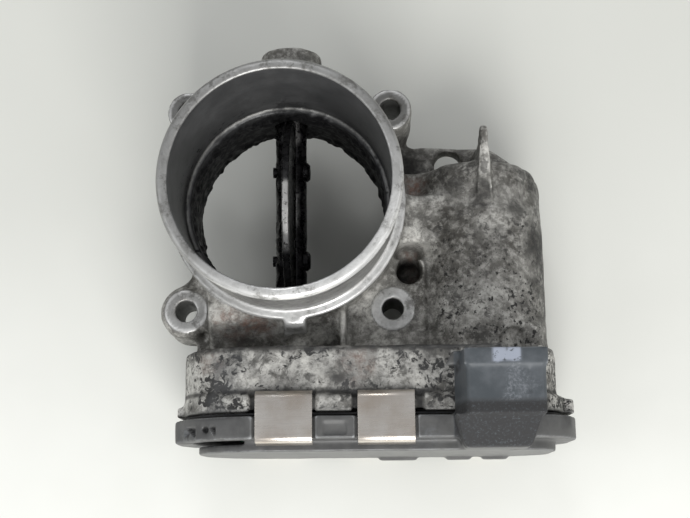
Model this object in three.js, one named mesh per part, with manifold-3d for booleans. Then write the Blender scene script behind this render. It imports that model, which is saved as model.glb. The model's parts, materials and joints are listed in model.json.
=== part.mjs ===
// Motor-driven throttle body with a long hose spigot, a spur-gear drive behind a clipped plastic
// cover, and a wide-open throttle plate. Millimetres, +Z along the bore towards the intake hose.
//
// Every piece is drawn about the bore: X = Y = 0 is the bore's axis and Z = 0 the manifold flange's
// face. The shaft, the gears and the motor all turn about lines parallel to Y. The last step moves the
// whole product so that its origin is the middle of its footprint, on the plane that it stands on.

import * as THREE from 'three';
import * as BufferGeometryUtils from 'three/addons/utils/BufferGeometryUtils.js';
import Module from 'manifold-3d';

const wasm = await Module();
wasm.setup();

// ---------------------------------------------------------------- driving dimensions

const CLEARANCE = 0.3; // gap between two pieces that touch
const OVERLAP = 0.5; // how far two joined solids run into each other

const BORE_RADIUS = 30;
const MOUTH_RADIUS = 31.65; // hose end of the bore, above the step
const STEP_Z = 27;
const RIM_Z = 63;
const SHOULDER_Z = 32.6;
const SHOULDER_RADIUS = 36;

const LUG_PITCH = 63.4; // side of the square of flange bolts
const LUG_TOP = 22.4;
const LUG_HOLE_RADIUS = 3.35;
const SPOT_FACE_RADIUS = 6.5;
const SPOT_FACE_HEIGHT = 0.6;

const SHAFT_Z = 11.5;
const SHAFT_RADIUS = 4.9;
const PLATE_RADIUS = 29.7;
const PLATE_THICKNESS = 2.2;
const PLATE_SCREW_Y = 14.5;
const BEARING_POCKET_RADIUS = 7.5;
const BEARING_OUTER_RADIUS = BEARING_POCKET_RADIUS - CLEARANCE;
const BEARING_INNER_RADIUS = SHAFT_RADIUS + CLEARANCE;
const BOSS_END_Y = 54.2;

const CASE = { left: -32.5, right: 80.8, bottom: -16, top: 38, leftRadius: 24, rightRadius: 20 };
const CASE_BACK_Y = -44.5;
const CASE_FLOOR_Y = -47.5;
const CASE_WALL = 2.6;
const RIM_BACK_Y = -58.9;
const RIM_FACE_Y = -64;
const RIM_FLARE = 2; // the sealing rim stands this far outside the case wall
const COVER_BACK_Y = -65.2;
const COVER_RIM_Y = -72;
const COVER_FRONT_Y = -75.3;
const COVER_FLARE = 4;
const COVER_SKIN = 2.4;

const MOTOR_X = 59.5;
const MOTOR_Z = 6.75;
const MOTOR_HOUSING_RADIUS = 20.5;
const MOTOR_HOUSING_END_Y = 14.5;
const MOTOR_POCKET_RADIUS = 17.3;
const MOTOR_CAN_RADIUS = 16.9;
const MOTOR_CAN_WALL = 1.3;
const MOTOR_POCKET_END_Y = 10.5;
const MOTOR_SHAFT_RADIUS = 1.6;

const COARSE_MODULE = 1.0; // second stage: idler's small gear and the sector
const FINE_MODULE = 0.8; // first stage: motor pinion and the idler's large gear
const SECTOR_TEETH = 45; // teeth that a whole wheel of the sector's size would have
const IDLER_SMALL_TEETH = 18;
const IDLER_LARGE_TEETH = 56;
const PINION_TEETH = 15;
const COARSE_GEAR_Y = [-61.3, -55.5];
const FINE_GEAR_Y = [-66.3, -61.9];
const SECTOR_SPAN_DEG = [-9, 97]; // toothed part, from the line towards the idler, throttle open

const CLIP_WIDTH = 16.5;
const CLIP_THICKNESS = 0.8;
const TOP_CLIPS_X = [-0.4, 29.2];
const BOTTOM_CLIPS_X = [-6, 26, 60];

const WEB_BOTTOM = -6;
const WEB_TOP = 3;
const CONNECTOR = { left: 51.3, right: 73.5, mouthY: -47.9, backY: -66.4, top: 56, wall: 1.9 };
const PIN_COUNT = 6;
const PIN_PITCH = 2.8;
const PIN_WIDTH = 1.1;
const PIN_Z = 49.4;

const COLOURS = {
  castAluminium: { color: 0x85837b, roughness: 0.6, metalness: 0.75 },
  plate: { color: 0x3a3834, roughness: 0.6, metalness: 0.6 },
  steel: { color: 0x9c9a96, roughness: 0.35, metalness: 0.95 },
  springSteel: { color: 0xb3a79e, roughness: 0.32, metalness: 0.95 },
  brass: { color: 0xb08d4c, roughness: 0.35, metalness: 0.9 },
  copper: { color: 0xa9643c, roughness: 0.4, metalness: 0.9 },
  ferrite: { color: 0x2d2d30, roughness: 0.7, metalness: 0.1 },
  carbon: { color: 0x1c1c1e, roughness: 0.8, metalness: 0 },
  coverPlastic: { color: 0x494c50, roughness: 0.55, metalness: 0 },
  gearPlastic: { color: 0xcfc6ae, roughness: 0.5, metalness: 0 },
  rubber: { color: 0x202022, roughness: 0.85, metalness: 0 },
  board: { color: 0x1f5a3a, roughness: 0.5, metalness: 0 },
};

// ---------------------------------------------------------------- geometry helpers

const WELD = 1e-4;
const QUARTER = Math.PI / 2;
const TURN = Math.PI * 2;

/** A closed three.js geometry as a solid that can be joined and cut. */
function solid(geometry) {
  const bare = geometry.clone();
  bare.deleteAttribute('normal');
  bare.deleteAttribute('uv');
  const welded = BufferGeometryUtils.mergeVertices(bare, WELD);
  const corners = welded.index.array;
  const triangles = [];
  for (let i = 0; i < corners.length; i += 3) {
    const [a, b, c] = [corners[i], corners[i + 1], corners[i + 2]];
    if (a !== b && b !== c && c !== a) {
      triangles.push(a, b, c);
    }
  }
  return new wasm.Manifold(new wasm.Mesh({
    numProp: 3,
    vertProperties: Float32Array.from(welded.attributes.position.array),
    triVerts: Uint32Array.from(triangles),
  }));
}

/** A solid back as a geometry. */
function geometryOf(shape) {
  const mesh = shape.getMesh();
  const geometry = new THREE.BufferGeometry();
  geometry.setAttribute('position', new THREE.BufferAttribute(mesh.vertProperties, 3));
  geometry.setIndex(new THREE.BufferAttribute(mesh.triVerts, 1));
  geometry.computeVertexNormals();
  return geometry;
}

const join = (...shapes) => shapes.reduce((whole, shape) => whole.add(shape));
const cut = (stock, ...tools) => tools.reduce((left, tool) => left.subtract(tool), stock);

function block([x0, x1], [y0, y1], [z0, z1]) {
  const geometry = new THREE.BoxGeometry(x1 - x0, y1 - y0, z1 - z0);
  return solid(geometry.translate((x0 + x1) / 2, (y0 + y1) / 2, (z0 + z1) / 2));
}

/** A cylinder or cone along Y; farRadius is its radius at y1. */
function cylinderY(radius, [y0, y1], x, z, sides = 24, farRadius = radius) {
  const geometry = new THREE.CylinderGeometry(farRadius, radius, y1 - y0, sides);
  return solid(geometry.translate(x, (y0 + y1) / 2, z));
}

function cylinderZ(radius, [z0, z1], x, y, sides = 24, topRadius = radius) {
  const geometry = new THREE.CylinderGeometry(topRadius, radius, z1 - z0, sides);
  return solid(geometry.rotateX(QUARTER).translate(x, y, (z0 + z1) / 2));
}

function cylinderX(radius, [x0, x1], y, z, sides = 16) {
  const geometry = new THREE.CylinderGeometry(radius, radius, x1 - x0, sides);
  return solid(geometry.rotateZ(QUARTER).translate((x0 + x1) / 2, y, z));
}

/** A profile of [radius, height] points, listed anticlockwise, turned about a line along Z. */
function turnedZ(profile, sides) {
  const points = profile.map(([r, z]) => new THREE.Vector2(r, z));
  return solid(new THREE.LatheGeometry(points, sides).rotateX(QUARTER));
}

/** The same, about a line along Y through (x, z). */
function turnedY(profile, x, z, sides) {
  const points = profile.map(([r, y]) => new THREE.Vector2(r, y));
  return solid(new THREE.LatheGeometry(points, sides).translate(x, 0, z));
}

function ringY(inner, outer, [y0, y1], x, z, sides = 24) {
  const profile = [[inner, y0], [outer, y0], [outer, y1], [inner, y1], [inner, y0]];
  return turnedY(profile, x, z, sides);
}

function extrusion(shape, depth, curveSegments) {
  return new THREE.ExtrudeGeometry(shape, { depth, bevelEnabled: false, curveSegments });
}

/** An (x, y) outline extruded along Z. */
function prismZ(shape, [z0, z1], curveSegments = 6) {
  return solid(extrusion(shape, z1 - z0, curveSegments).translate(0, 0, z0));
}

/** An (x, z) outline extruded along Y. */
function prismY(shape, [y0, y1], curveSegments = 6) {
  return solid(extrusion(shape, y1 - y0, curveSegments).rotateX(QUARTER).translate(0, y1, 0));
}

/** A (y, z) outline extruded along X. */
function prismX(shape, [x0, x1], curveSegments = 6) {
  const [x, y, z] = [[1, 0, 0], [0, 1, 0], [0, 0, 1]].map((axis) => new THREE.Vector3(...axis));
  const turn = new THREE.Matrix4().makeBasis(y, z, x);
  return solid(extrusion(shape, x1 - x0, curveSegments).applyMatrix4(turn).translate(x0, 0, 0));
}

function polygon(points) {
  return new THREE.Shape(points.map(([u, v]) => new THREE.Vector2(u, v)));
}

/** A circular arc of [u, v] points from one angle to another, both in degrees. */
function arcPoints([u, v], radius, fromDeg, toDeg, steps) {
  return Array.from({ length: steps + 1 }, (_, i) => {
    const angle = THREE.MathUtils.degToRad(fromDeg + ((toDeg - fromDeg) * i) / steps);
    return [u + radius * Math.cos(angle), v + radius * Math.sin(angle)];
  });
}

function piece(name, finish, shape) {
  const mesh = new THREE.Mesh(geometryOf(shape), new THREE.MeshStandardMaterial(COLOURS[finish]));
  mesh.name = name;
  return mesh;
}

// ---------------------------------------------------------------- shared outlines and places

/** The gear case's (x, z) outline, moved outwards all round, and by other amounts at its two ends. */
function caseOutline(offset, atLeft = offset, atRight = offset) {
  const [left, right] = [CASE.left - atLeft, CASE.right + atRight];
  const [bottom, top] = [CASE.bottom - offset, CASE.top + offset];
  const [rl, rr] = [CASE.leftRadius + offset, CASE.rightRadius + offset];
  const shape = new THREE.Shape();
  shape.moveTo(left + rl, bottom);
  shape.lineTo(right - rr, bottom);
  shape.absarc(right - rr, bottom + rr, rr, -QUARTER, 0, false);
  shape.absarc(right - rr, top - rr, rr, 0, QUARTER, false);
  shape.lineTo(left + rl, top);
  shape.absarc(left + rl, top - rl, rl, QUARTER, 2 * QUARTER, false);
  shape.absarc(left + rl, bottom + rl, rl, 2 * QUARTER, 3 * QUARTER, false);
  return shape;
}

const pitchRadius = (teeth, module) => (teeth * module) / 2;

/** The idler's axis: where the two centre distances meet, on the upper side of the direct line. */
function idlerAxis() {
  const shaft = new THREE.Vector2(0, SHAFT_Z);
  const motor = new THREE.Vector2(MOTOR_X, MOTOR_Z);
  const toShaft = pitchRadius(SECTOR_TEETH + IDLER_SMALL_TEETH, COARSE_MODULE);
  const toMotor = pitchRadius(IDLER_LARGE_TEETH + PINION_TEETH, FINE_MODULE);
  const line = motor.clone().sub(shaft);
  const span = line.length();
  const along = (toShaft ** 2 - toMotor ** 2 + span ** 2) / (2 * span);
  const aside = Math.sqrt(toShaft ** 2 - along ** 2);
  const unit = line.normalize();
  return {
    x: shaft.x + unit.x * along - unit.y * aside,
    z: shaft.y + unit.y * along + unit.x * aside,
  };
}

const IDLER = idlerAxis();
const TO_IDLER = Math.atan2(IDLER.z - SHAFT_Z, IDLER.x);
const TO_MOTOR = Math.atan2(MOTOR_Z - IDLER.z, MOTOR_X - IDLER.x);

/**
 * Outline points of a spur gear about (0, 0) in (x, z): straight-sided teeth with a third of a
 * module of backlash. A tooth is centred on the angle phase; only those between from and to are cut.
 */
function gearPoints({ teeth, module, phase, from = 0, to = TURN }) {
  const pitch = TURN / teeth;
  const radius = pitchRadius(teeth, module);
  const root = radius - 1.15 * module;
  const tip = radius + 0.8 * module;
  const points = [];
  const first = Math.ceil((from - phase) / pitch);
  const count = Math.round((to - from) / pitch);
  for (let i = 0; i < count; i += 1) {
    const middle = phase + (first + i) * pitch;
    for (const [r, share] of [[root, -0.34], [tip, -0.12], [tip, 0.12], [root, 0.34]]) {
      points.push([r * Math.cos(middle + share * pitch), r * Math.sin(middle + share * pitch)]);
    }
  }
  return points;
}

function gear(options, x, z, span) {
  const points = gearPoints(options).map(([u, v]) => [u + x, v + z]);
  return prismY(polygon(points), span);
}

// ---------------------------------------------------------------- cast housing

/** Outside of the spigot and the bore tube: rolled rim, hose bead, groove, barrel and shoulder. */
function boreTube() {
  const bead = arcPoints([33.2, 61.2], 1.8, -55, 90, 4);
  return turnedZ([
    [0, 0],
    [35.4, 0],
    [35.8, 30],
    [SHOULDER_RADIUS, 30.6],
    [SHOULDER_RADIUS, SHOULDER_Z],
    [33.3, SHOULDER_Z + 0.3],
    [33.3, 38.4],
    [33.7, 39],
    [33.7, 52],
    [33.3, 53],
    [33.3, 58],
    ...bead,
    [0, RIM_Z],
  ], 48);
}

function boreTool() {
  return turnedZ([
    [0, -1],
    [BORE_RADIUS, -1],
    [BORE_RADIUS, STEP_Z - 0.8],
    [MOUTH_RADIUS, STEP_Z],
    [MOUTH_RADIUS, RIM_Z - 0.4],
    [MOUTH_RADIUS + 0.4, RIM_Z + 1],
    [0, RIM_Z + 1],
  ], 48);
}

/** A flange bolt's column with its machined spot face, tied to the bore tube by a web. */
function lug(sideX, sideY, radius) {
  const [x, y] = [(sideX * LUG_PITCH) / 2, (sideY * LUG_PITCH) / 2];
  const top = LUG_TOP - SPOT_FACE_HEIGHT;
  const web = new THREE.BoxGeometry(16, radius * 1.7, top - 1);
  web.translate(-8, 0, (top - 1) / 2).rotateZ(Math.atan2(y, x)).translate(x, y, 0);
  return join(
    cylinderZ(radius + 0.3, [0, top], x, y, 24, radius),
    cylinderZ(Math.min(SPOT_FACE_RADIUS, radius - 0.3), [top - OVERLAP, LUG_TOP], x, y, 24),
    solid(web),
  );
}

function lugHole(sideX, sideY) {
  return cylinderZ(LUG_HOLE_RADIUS, [-30, LUG_TOP + 1], (sideX * LUG_PITCH) / 2, (sideY * LUG_PITCH) / 2, 20);
}

/** Clears the casting round a bolt seat, down to the foot of the seat. */
function spotFaceTool(sideX, sideY) {
  const at = [(sideX * LUG_PITCH) / 2, (sideY * LUG_PITCH) / 2];
  const foot = LUG_TOP - SPOT_FACE_HEIGHT;
  const around = cylinderZ(SPOT_FACE_RADIUS + 0.8, [foot, RIM_Z], ...at, 28);
  return around.subtract(cylinderZ(SPOT_FACE_RADIUS, [foot - 1, LUG_TOP], ...at, 24));
}

/** Casting between the bore tube and the gear case: pad, ribs and the block round the near lug. */
function neck() {
  const back = CASE_BACK_Y - OVERLAP;
  const leftSlope = polygon([[back, 0], [-22, 0], [-22, 31], [-35, 30], [back, 20]]);
  const rightSlope = polygon([[back, 0], [-22, 0], [-22, 27], [-36, 26], [back, 17]]);
  const pad = polygon([[-40, 0], [-24, 0], [-24, SHOULDER_Z], [-37.4, SHOULDER_Z], [-39, 29], [-40, 20]]);
  return join(
    block([-29, -23], [back, -30], [0, 18]),
    prismX(leftSlope, [-24.4, 0]),
    prismX(pad, [-1.1, 5.6]),
    prismX(rightSlope, [5, 17]),
    block([15.6, 17.6], [back, -26], [0, 28.5]),
    block([17, 42], [back, -16], [0, LUG_TOP - SPOT_FACE_HEIGHT]),
  );
}

function shaftBosses() {
  const far = turnedY([
    [0, 24],
    [10.2, 24],
    [10.2, BOSS_END_Y - 1.2],
    [9, BOSS_END_Y],
    [0, BOSS_END_Y],
  ], 0, SHAFT_Z, 36);
  const near = cylinderY(10.2, [-50, -24], 0, SHAFT_Z, 28);
  return join(far, near, block([-6, 6], [24, 38], [0, 12]));
}

/** The barrel that holds the motor, its support web with one hole, the gusset and the foot rail. */
function motorHousing() {
  const back = CASE_BACK_Y - OVERLAP;
  const end = MOTOR_HOUSING_END_Y;
  const barrel = turnedY([
    [0, back],
    [MOTOR_HOUSING_RADIUS + 0.4, back],
    [MOTOR_HOUSING_RADIUS, -1],
    [MOTOR_HOUSING_RADIUS - 1.3, 0.4],
    [MOTOR_HOUSING_RADIUS - 1.4, end - 3],
    [MOTOR_HOUSING_RADIUS - 2.4, end - 0.8],
    [MOTOR_HOUSING_RADIUS - 4.4, end],
    [0, end],
  ], MOTOR_X, MOTOR_Z, 40);
  const corner = arcPoints([75.4, 10], 5, 0, 58, 4);
  const inner = LUG_PITCH / 2 + 9;
  const outline = (left) => polygon([[left, back], [81.2, back], ...corner, [64.4, 24.4], [left, 25.3]]);
  const gusset = polygon([[-4, 0], [24.3, 0], [24.3, 28.6], [23.2, 29.8], [18, 29.2], [-4, 25.8]]);
  const taper = polygon([[57.4, -5], [63.2, -5], [61.6, 25], [59.4, 25]]);
  const bridge = polygon([[24, 0], [54, 0], [54, 25.4], [46, 22.5], [37, 23.5], [24, 26]]);
  const foot = polygon([[-2, 0], [12, 0], [10, CASE.bottom - COVER_FLARE], [0, CASE.bottom - COVER_FLARE]]);
  return join(
    barrel.intersect(prismZ(outline(30), [-40, 40])),
    prismZ(outline(inner), [WEB_BOTTOM, WEB_TOP]),
    prismX(gusset, [56, 65]).intersect(prismZ(taper, [0, 40])),
    prismY(bridge, [-11.5, 4]),
    block([24, 46], [-18, 14], [0, 13]),
    block([30, inner + OVERLAP], [-40, 25.3], [0, WEB_TOP]),
    prismX(foot, [MOTOR_X - 9, MOTOR_X + 9]),
  );
}

function gearCase() {
  const rim = prismY(caseOutline(RIM_FLARE, 0.1, RIM_FLARE), [RIM_FACE_Y, RIM_BACK_Y], 8);
  const shell = prismY(caseOutline(0), [RIM_BACK_Y - OVERLAP, CASE_BACK_Y], 8);
  return join(
    shell,
    rim,
    block([CASE.left - 2, CASE.left + 2], [RIM_FACE_Y, RIM_FACE_Y + 3.2], [3, 19]),
    block([CASE.right - 2, CASE.right + 4.9], [RIM_FACE_Y, RIM_BACK_Y - 0.6], [1, 21]),
  );
}

/** Everything that is hollow: gear chamber, motor pocket, shaft bore and its bearing pockets. */
function housingCuts() {
  const chamber = prismY(caseOutline(-CASE_WALL), [RIM_FACE_Y - 1, CASE_FLOOR_Y], 8);
  const motorWall = cylinderY(MOTOR_POCKET_RADIUS + 1.4, [-60, -30], MOTOR_X, MOTOR_Z, 48);
  const latchRecess = join(
    cylinderZ(5.5, [16, 60], 68.8, -43.4, 20),
    block([63.3, 74.3], [CASE_BACK_Y, -43.4], [16, 60]),
  ).subtract(join(motorWall, cylinderZ(1.9, [16, 23], 71.6, -40.8, 16)));
  return [
    boreTool(),
    chamber.subtract(cylinderY(9.6, [-50, CASE_FLOOR_Y + 1], 0, SHAFT_Z, 28)),
    cylinderY(MOTOR_POCKET_RADIUS, [CASE_FLOOR_Y - 1, MOTOR_POCKET_END_Y], MOTOR_X, MOTOR_Z, 32),
    cylinderY(SHAFT_RADIUS + CLEARANCE, [-60, BOSS_END_Y - 2], 0, SHAFT_Z, 28),
    cylinderY(BEARING_POCKET_RADIUS, [-51, -33], 0, SHAFT_Z, 28),
    cylinderY(BEARING_POCKET_RADIUS, [33, BOSS_END_Y + 1], 0, SHAFT_Z, 28),
    latchRecess,
    cylinderZ(4.2, [8, 40], 36.9, -19.6, 20),
    cylinderZ(4.4, [-30, 10], 50.6, 18.9, 24),
  ];
}

function motorScrewPlaces() {
  return [-1, 1].map((side) => ({ x: MOTOR_X + side * 14, z: MOTOR_Z + side * 14.3 }));
}

function throttleHousing() {
  const lugs = [[-1, -1, 8.3], [1, -1, 8], [1, 1, 7.2], [-1, 1, 6.9]];
  const casting = join(
    boreTube(),
    ...lugs.map(([sideX, sideY, radius]) => lug(sideX, sideY, radius)),
    neck(),
    shaftBosses(),
    motorHousing(),
    gearCase(),
  );
  const idlerBoss = cylinderY(4.6, [-53.5, CASE_FLOOR_Y + OVERLAP], IDLER.x, IDLER.z, 20);
  const screwHoles = motorScrewPlaces().map(({ x, z }) => cylinderY(1.9, [-60, -38], x, z, 12));
  const screwBosses = motorScrewPlaces().map(({ x, z }) => cylinderY(4, [CASE_FLOOR_Y, -37], x, z, 16));
  const lugCuts = lugs.flatMap(([sideX, sideY]) => [lugHole(sideX, sideY), spotFaceTool(sideX, sideY)]);
  const hollow = cut(casting, ...housingCuts(), ...lugCuts);
  const bossed = join(hollow, idlerBoss, ...screwBosses);
  const pinHole = cylinderY(2.5, [-55, -48.5], IDLER.x, IDLER.z, 16);
  const pocket = cylinderY(MOTOR_POCKET_RADIUS, [-60, MOTOR_POCKET_END_Y], MOTOR_X, MOTOR_Z, 32);
  return piece('throttle_housing', 'castAluminium', cut(bossed, pinHole, pocket, ...screwHoles));
}

// ---------------------------------------------------------------- throttle shaft and plate

function throttleShaft() {
  const slot = PLATE_THICKNESS / 2 + CLEARANCE;
  const rod = turnedY([
    [0, -61.3],
    [SHAFT_RADIUS - 0.5, -61.3],
    [SHAFT_RADIUS, -60.8],
    [SHAFT_RADIUS, 44],
    [SHAFT_RADIUS - 0.5, 44.5],
    [0, 44.5],
  ], 0, SHAFT_Z, 28);
  const screwCuts = [-PLATE_SCREW_Y, PLATE_SCREW_Y].flatMap((y) => [
    cylinderX(2.1, [-8, 8], y, SHAFT_Z, 16),
    cylinderX(3.5, [3.6, 8], y, SHAFT_Z, 20),
  ]);
  const plateSlot = block([-slot, slot], [-30.2, 30.2], [0, 30]);
  return piece('throttle_shaft', 'steel', cut(rod, plateSlot, ...screwCuts));
}

function throttlePlate() {
  const half = PLATE_THICKNESS / 2;
  const disc = cylinderX(PLATE_RADIUS, [-half, half], 0, SHAFT_Z, 48);
  const screwHoles = [-PLATE_SCREW_Y, PLATE_SCREW_Y].map((y) => cylinderX(2.1, [-8, 8], y, SHAFT_Z, 16));
  return piece('throttle_plate', 'plate', cut(disc, ...screwHoles));
}

/** Domed-head screw through the shaft and the plate, staked over at its far end. */
function plateScrew(index, y) {
  const profile = [[0, -5.8], [1.7, -5.8], [1.7, 3.9], [3.1, 3.9], [3.1, 5.2], [2.3, 6], [0, 6.2]];
  const points = profile.map(([r, x]) => new THREE.Vector2(r, x));
  const body = solid(new THREE.LatheGeometry(points, 14).rotateZ(-QUARTER).translate(0, y, SHAFT_Z));
  const slot = block([5.5, 7], [y - 4, y + 4], [SHAFT_Z - 0.45, SHAFT_Z + 0.45]);
  return piece(`plate_screw_${index}`, 'steel', body.subtract(slot));
}

function shaftRings() {
  const ring = (span) => ringY(BEARING_INNER_RADIUS, BEARING_OUTER_RADIUS, span, 0, SHAFT_Z);
  return [
    piece('gear_side_bearing', 'steel', ring([-46.2, -36.2])),
    piece('far_side_bearing', 'steel', ring([36.2, 44.2])),
    piece('gear_side_seal', 'rubber', ring([-35.8, -33.3])),
    piece('far_side_seal', 'rubber', ring([33.3, 35.8])),
  ];
}

function boreEndPlug() {
  const profile = [[0, 50], [6.4, 50], [6.4, 47.4], [7.2, 47.4], [7.2, 52], [6.6, 52], [0, 51.4]];
  return piece('boss_end_plug', 'steel', turnedY(profile, 0, SHAFT_Z, 32));
}

// ---------------------------------------------------------------- gear train

function sectorGear() {
  const [from, to] = SECTOR_SPAN_DEG.map((angle) => TO_IDLER + THREE.MathUtils.degToRad(angle));
  const teeth = gearPoints({ teeth: SECTOR_TEETH, module: COARSE_MODULE, phase: TO_IDLER, from, to });
  const heel = arcPoints([0, 0], 9, 130, 330, 8);
  const wheel = polygon([...teeth, ...heel].map(([u, v]) => [u, v + SHAFT_Z]));
  const hub = cylinderY(8.6, [-60.8, -50.8], 0, SHAFT_Z, 28);
  const body = join(prismY(wheel, COARSE_GEAR_Y), hub);
  const bore = cylinderY(SHAFT_RADIUS + CLEARANCE, [-70, -40], 0, SHAFT_Z, 28);
  return piece('sector_gear', 'gearPlastic', body.subtract(bore));
}

function idlerGear() {
  const small = gear({
    teeth: IDLER_SMALL_TEETH,
    module: COARSE_MODULE,
    phase: TO_IDLER + Math.PI + Math.PI / IDLER_SMALL_TEETH,
  }, IDLER.x, IDLER.z, [FINE_GEAR_Y[0] + 1, COARSE_GEAR_Y[1]]);
  const large = gear({
    teeth: IDLER_LARGE_TEETH,
    module: FINE_MODULE,
    phase: TO_MOTOR,
  }, IDLER.x, IDLER.z, FINE_GEAR_Y);
  const bore = cylinderY(2.2 + CLEARANCE, [-70, -40], IDLER.x, IDLER.z, 20);
  return piece('idler_gear', 'gearPlastic', join(small, large).subtract(bore));
}

function idlerPin() {
  return piece('idler_pin', 'steel', cylinderY(2.2, [-72, -48.8], IDLER.x, IDLER.z, 16));
}

function motorPinion() {
  const wheel = gear({
    teeth: PINION_TEETH,
    module: FINE_MODULE,
    phase: TO_MOTOR + Math.PI + Math.PI / PINION_TEETH,
  }, MOTOR_X, MOTOR_Z, FINE_GEAR_Y);
  const bore = cylinderY(MOTOR_SHAFT_RADIUS + CLEARANCE, [-70, -40], MOTOR_X, MOTOR_Z, 16);
  return piece('motor_pinion', 'brass', wheel.subtract(bore));
}

/** Torsion spring round the sector's hub. */
function returnSpring() {
  const [coils, wire, mean, start] = [4, 0.65, 11.4, -49];
  const pitch = 2 * wire + 0.15;
  const steps = coils * 12;
  const path = Array.from({ length: steps + 1 }, (_, i) => {
    const angle = (i / steps) * coils * TURN;
    return new THREE.Vector3(mean * Math.cos(angle), start - pitch * (angle / TURN), mean * Math.sin(angle));
  });
  const section = new THREE.Shape().absarc(0, 0, wire, 0, TURN, false);
  const wireBody = new THREE.ExtrudeGeometry(section, {
    steps,
    curveSegments: 3,
    bevelEnabled: false,
    extrudePath: new THREE.CatmullRomCurve3(path),
  });
  return piece('return_spring', 'steel', solid(wireBody.translate(0, 0, SHAFT_Z)));
}

function sensorMagnet() {
  const profile = [[0, -66.6], [6.4, -66.6], [7, -66], [7, -61.9], [0, -61.9]];
  return piece('sensor_magnet', 'ferrite', turnedY(profile, 0, SHAFT_Z, 28));
}

// ---------------------------------------------------------------- drive motor

function motorCan() {
  const inner = MOTOR_CAN_RADIUS - MOTOR_CAN_WALL;
  const profile = [
    [2.4, 8.6],
    [inner, 8.6],
    [inner, -47.2],
    [MOTOR_CAN_RADIUS, -47.2],
    [MOTOR_CAN_RADIUS, 8.8],
    [MOTOR_CAN_RADIUS - 1, 9.8],
    [2.4, 9.8],
    [2.4, 8.6],
  ];
  return piece('motor_can', 'steel', turnedY(profile, MOTOR_X, MOTOR_Z, 32));
}

function motorEndPlate() {
  const ears = motorScrewPlaces().map(({ x, z }) => cylinderY(4, [-49.4, -47.8], x, z, 16));
  const holes = motorScrewPlaces().map(({ x, z }) => cylinderY(2, [-60, -40], x, z, 12));
  const disc = cylinderY(17.4, [-49.4, -47.8], MOTOR_X, MOTOR_Z, 32);
  const socket = cylinderY(4.4, [-60, -40], MOTOR_X, MOTOR_Z, 24);
  return piece('motor_end_plate', 'steel', cut(join(disc, ...ears), ...holes, socket));
}

function motorScrews() {
  return motorScrewPlaces().map(({ x, z }, index) => {
    const head = [[0, -51.8], [2.6, -51.8], [3.2, -51.2], [3.2, -49.7]];
    const profile = [...head, [1.6, -49.7], [1.6, -40], [0, -40]];
    return piece(`motor_screw_${index + 1}`, 'steel', turnedY(profile, x, z, 16));
  });
}

function motorRotor() {
  const slots = Array.from({ length: 5 }, (_, i) => {
    const angle = (i / 5) * TURN;
    const groove = new THREE.BoxGeometry(2.2, 40, 12);
    groove.translate(0, 0, 11.5).rotateY(angle).translate(MOTOR_X, -20, MOTOR_Z);
    return solid(groove);
  });
  const core = ringY(MOTOR_SHAFT_RADIUS + CLEARANCE, 12.4, [-34, -6], MOTOR_X, MOTOR_Z, 32);
  const windings = Array.from({ length: 5 }, (_, i) => {
    const angle = (i / 5) * TURN;
    const coil = new THREE.BoxGeometry(1.6, 34, 4.4);
    coil.translate(0, 0, 8.6).rotateY(angle).translate(MOTOR_X, -20, MOTOR_Z);
    return solid(coil);
  });
  const heads = [[-37, -34.3], [-5.7, -3]].map((span) => ringY(4, 10.8, span, MOTOR_X, MOTOR_Z, 15));
  return [
    piece('motor_shaft', 'steel', cylinderY(MOTOR_SHAFT_RADIUS, [-67.6, 8.2], MOTOR_X, MOTOR_Z, 16)),
    piece('armature_core', 'steel', cut(core, ...slots)),
    piece('armature_windings', 'copper', join(...heads, ...windings)),
    piece('commutator', 'copper', ringY(MOTOR_SHAFT_RADIUS + CLEARANCE, 5, [-44, -38], MOTOR_X, MOTOR_Z, 24)),
  ];
}

function motorStator() {
  const magnets = [0, 1].map((index) => {
    const [middle, half] = [index * 180, 62];
    const outer = arcPoints([MOTOR_X, MOTOR_Z], 15.2, middle - half, middle + half, 12);
    const inner = arcPoints([MOTOR_X, MOTOR_Z], 13, middle + half, middle - half, 12);
    return piece(`motor_magnet_${index + 1}`, 'ferrite', prismY(polygon([...outer, ...inner]), [-35, -5]));
  });
  const brushes = [-1, 1].map((side, index) => {
    const [near, far] = [MOTOR_Z + side * 5.4, MOTOR_Z + side * 12.4];
    const span = side > 0 ? [near, far] : [far, near];
    const brush = block([MOTOR_X - 1.8, MOTOR_X + 1.8], [-43.2, -39], span);
    return piece(`carbon_brush_${index + 1}`, 'carbon', brush);
  });
  const bush = ringY(MOTOR_SHAFT_RADIUS + CLEARANCE, 4, [-50.6, -46], MOTOR_X, MOTOR_Z, 24);
  return [...magnets, ...brushes, piece('motor_bush', 'brass', bush)];
}

// ---------------------------------------------------------------- cover, connector and clips

function clipNotch(x, top) {
  const half = CLIP_WIDTH / 2 + 0.7;
  const floor = RIM_FLARE + 0.1;
  const z = top ? [CASE.top + floor, CASE.top + 10] : [CASE.bottom - 10, CASE.bottom - floor];
  return block([x - half, x + half], [COVER_FRONT_Y - 2, COVER_BACK_Y + 2], z);
}

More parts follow.
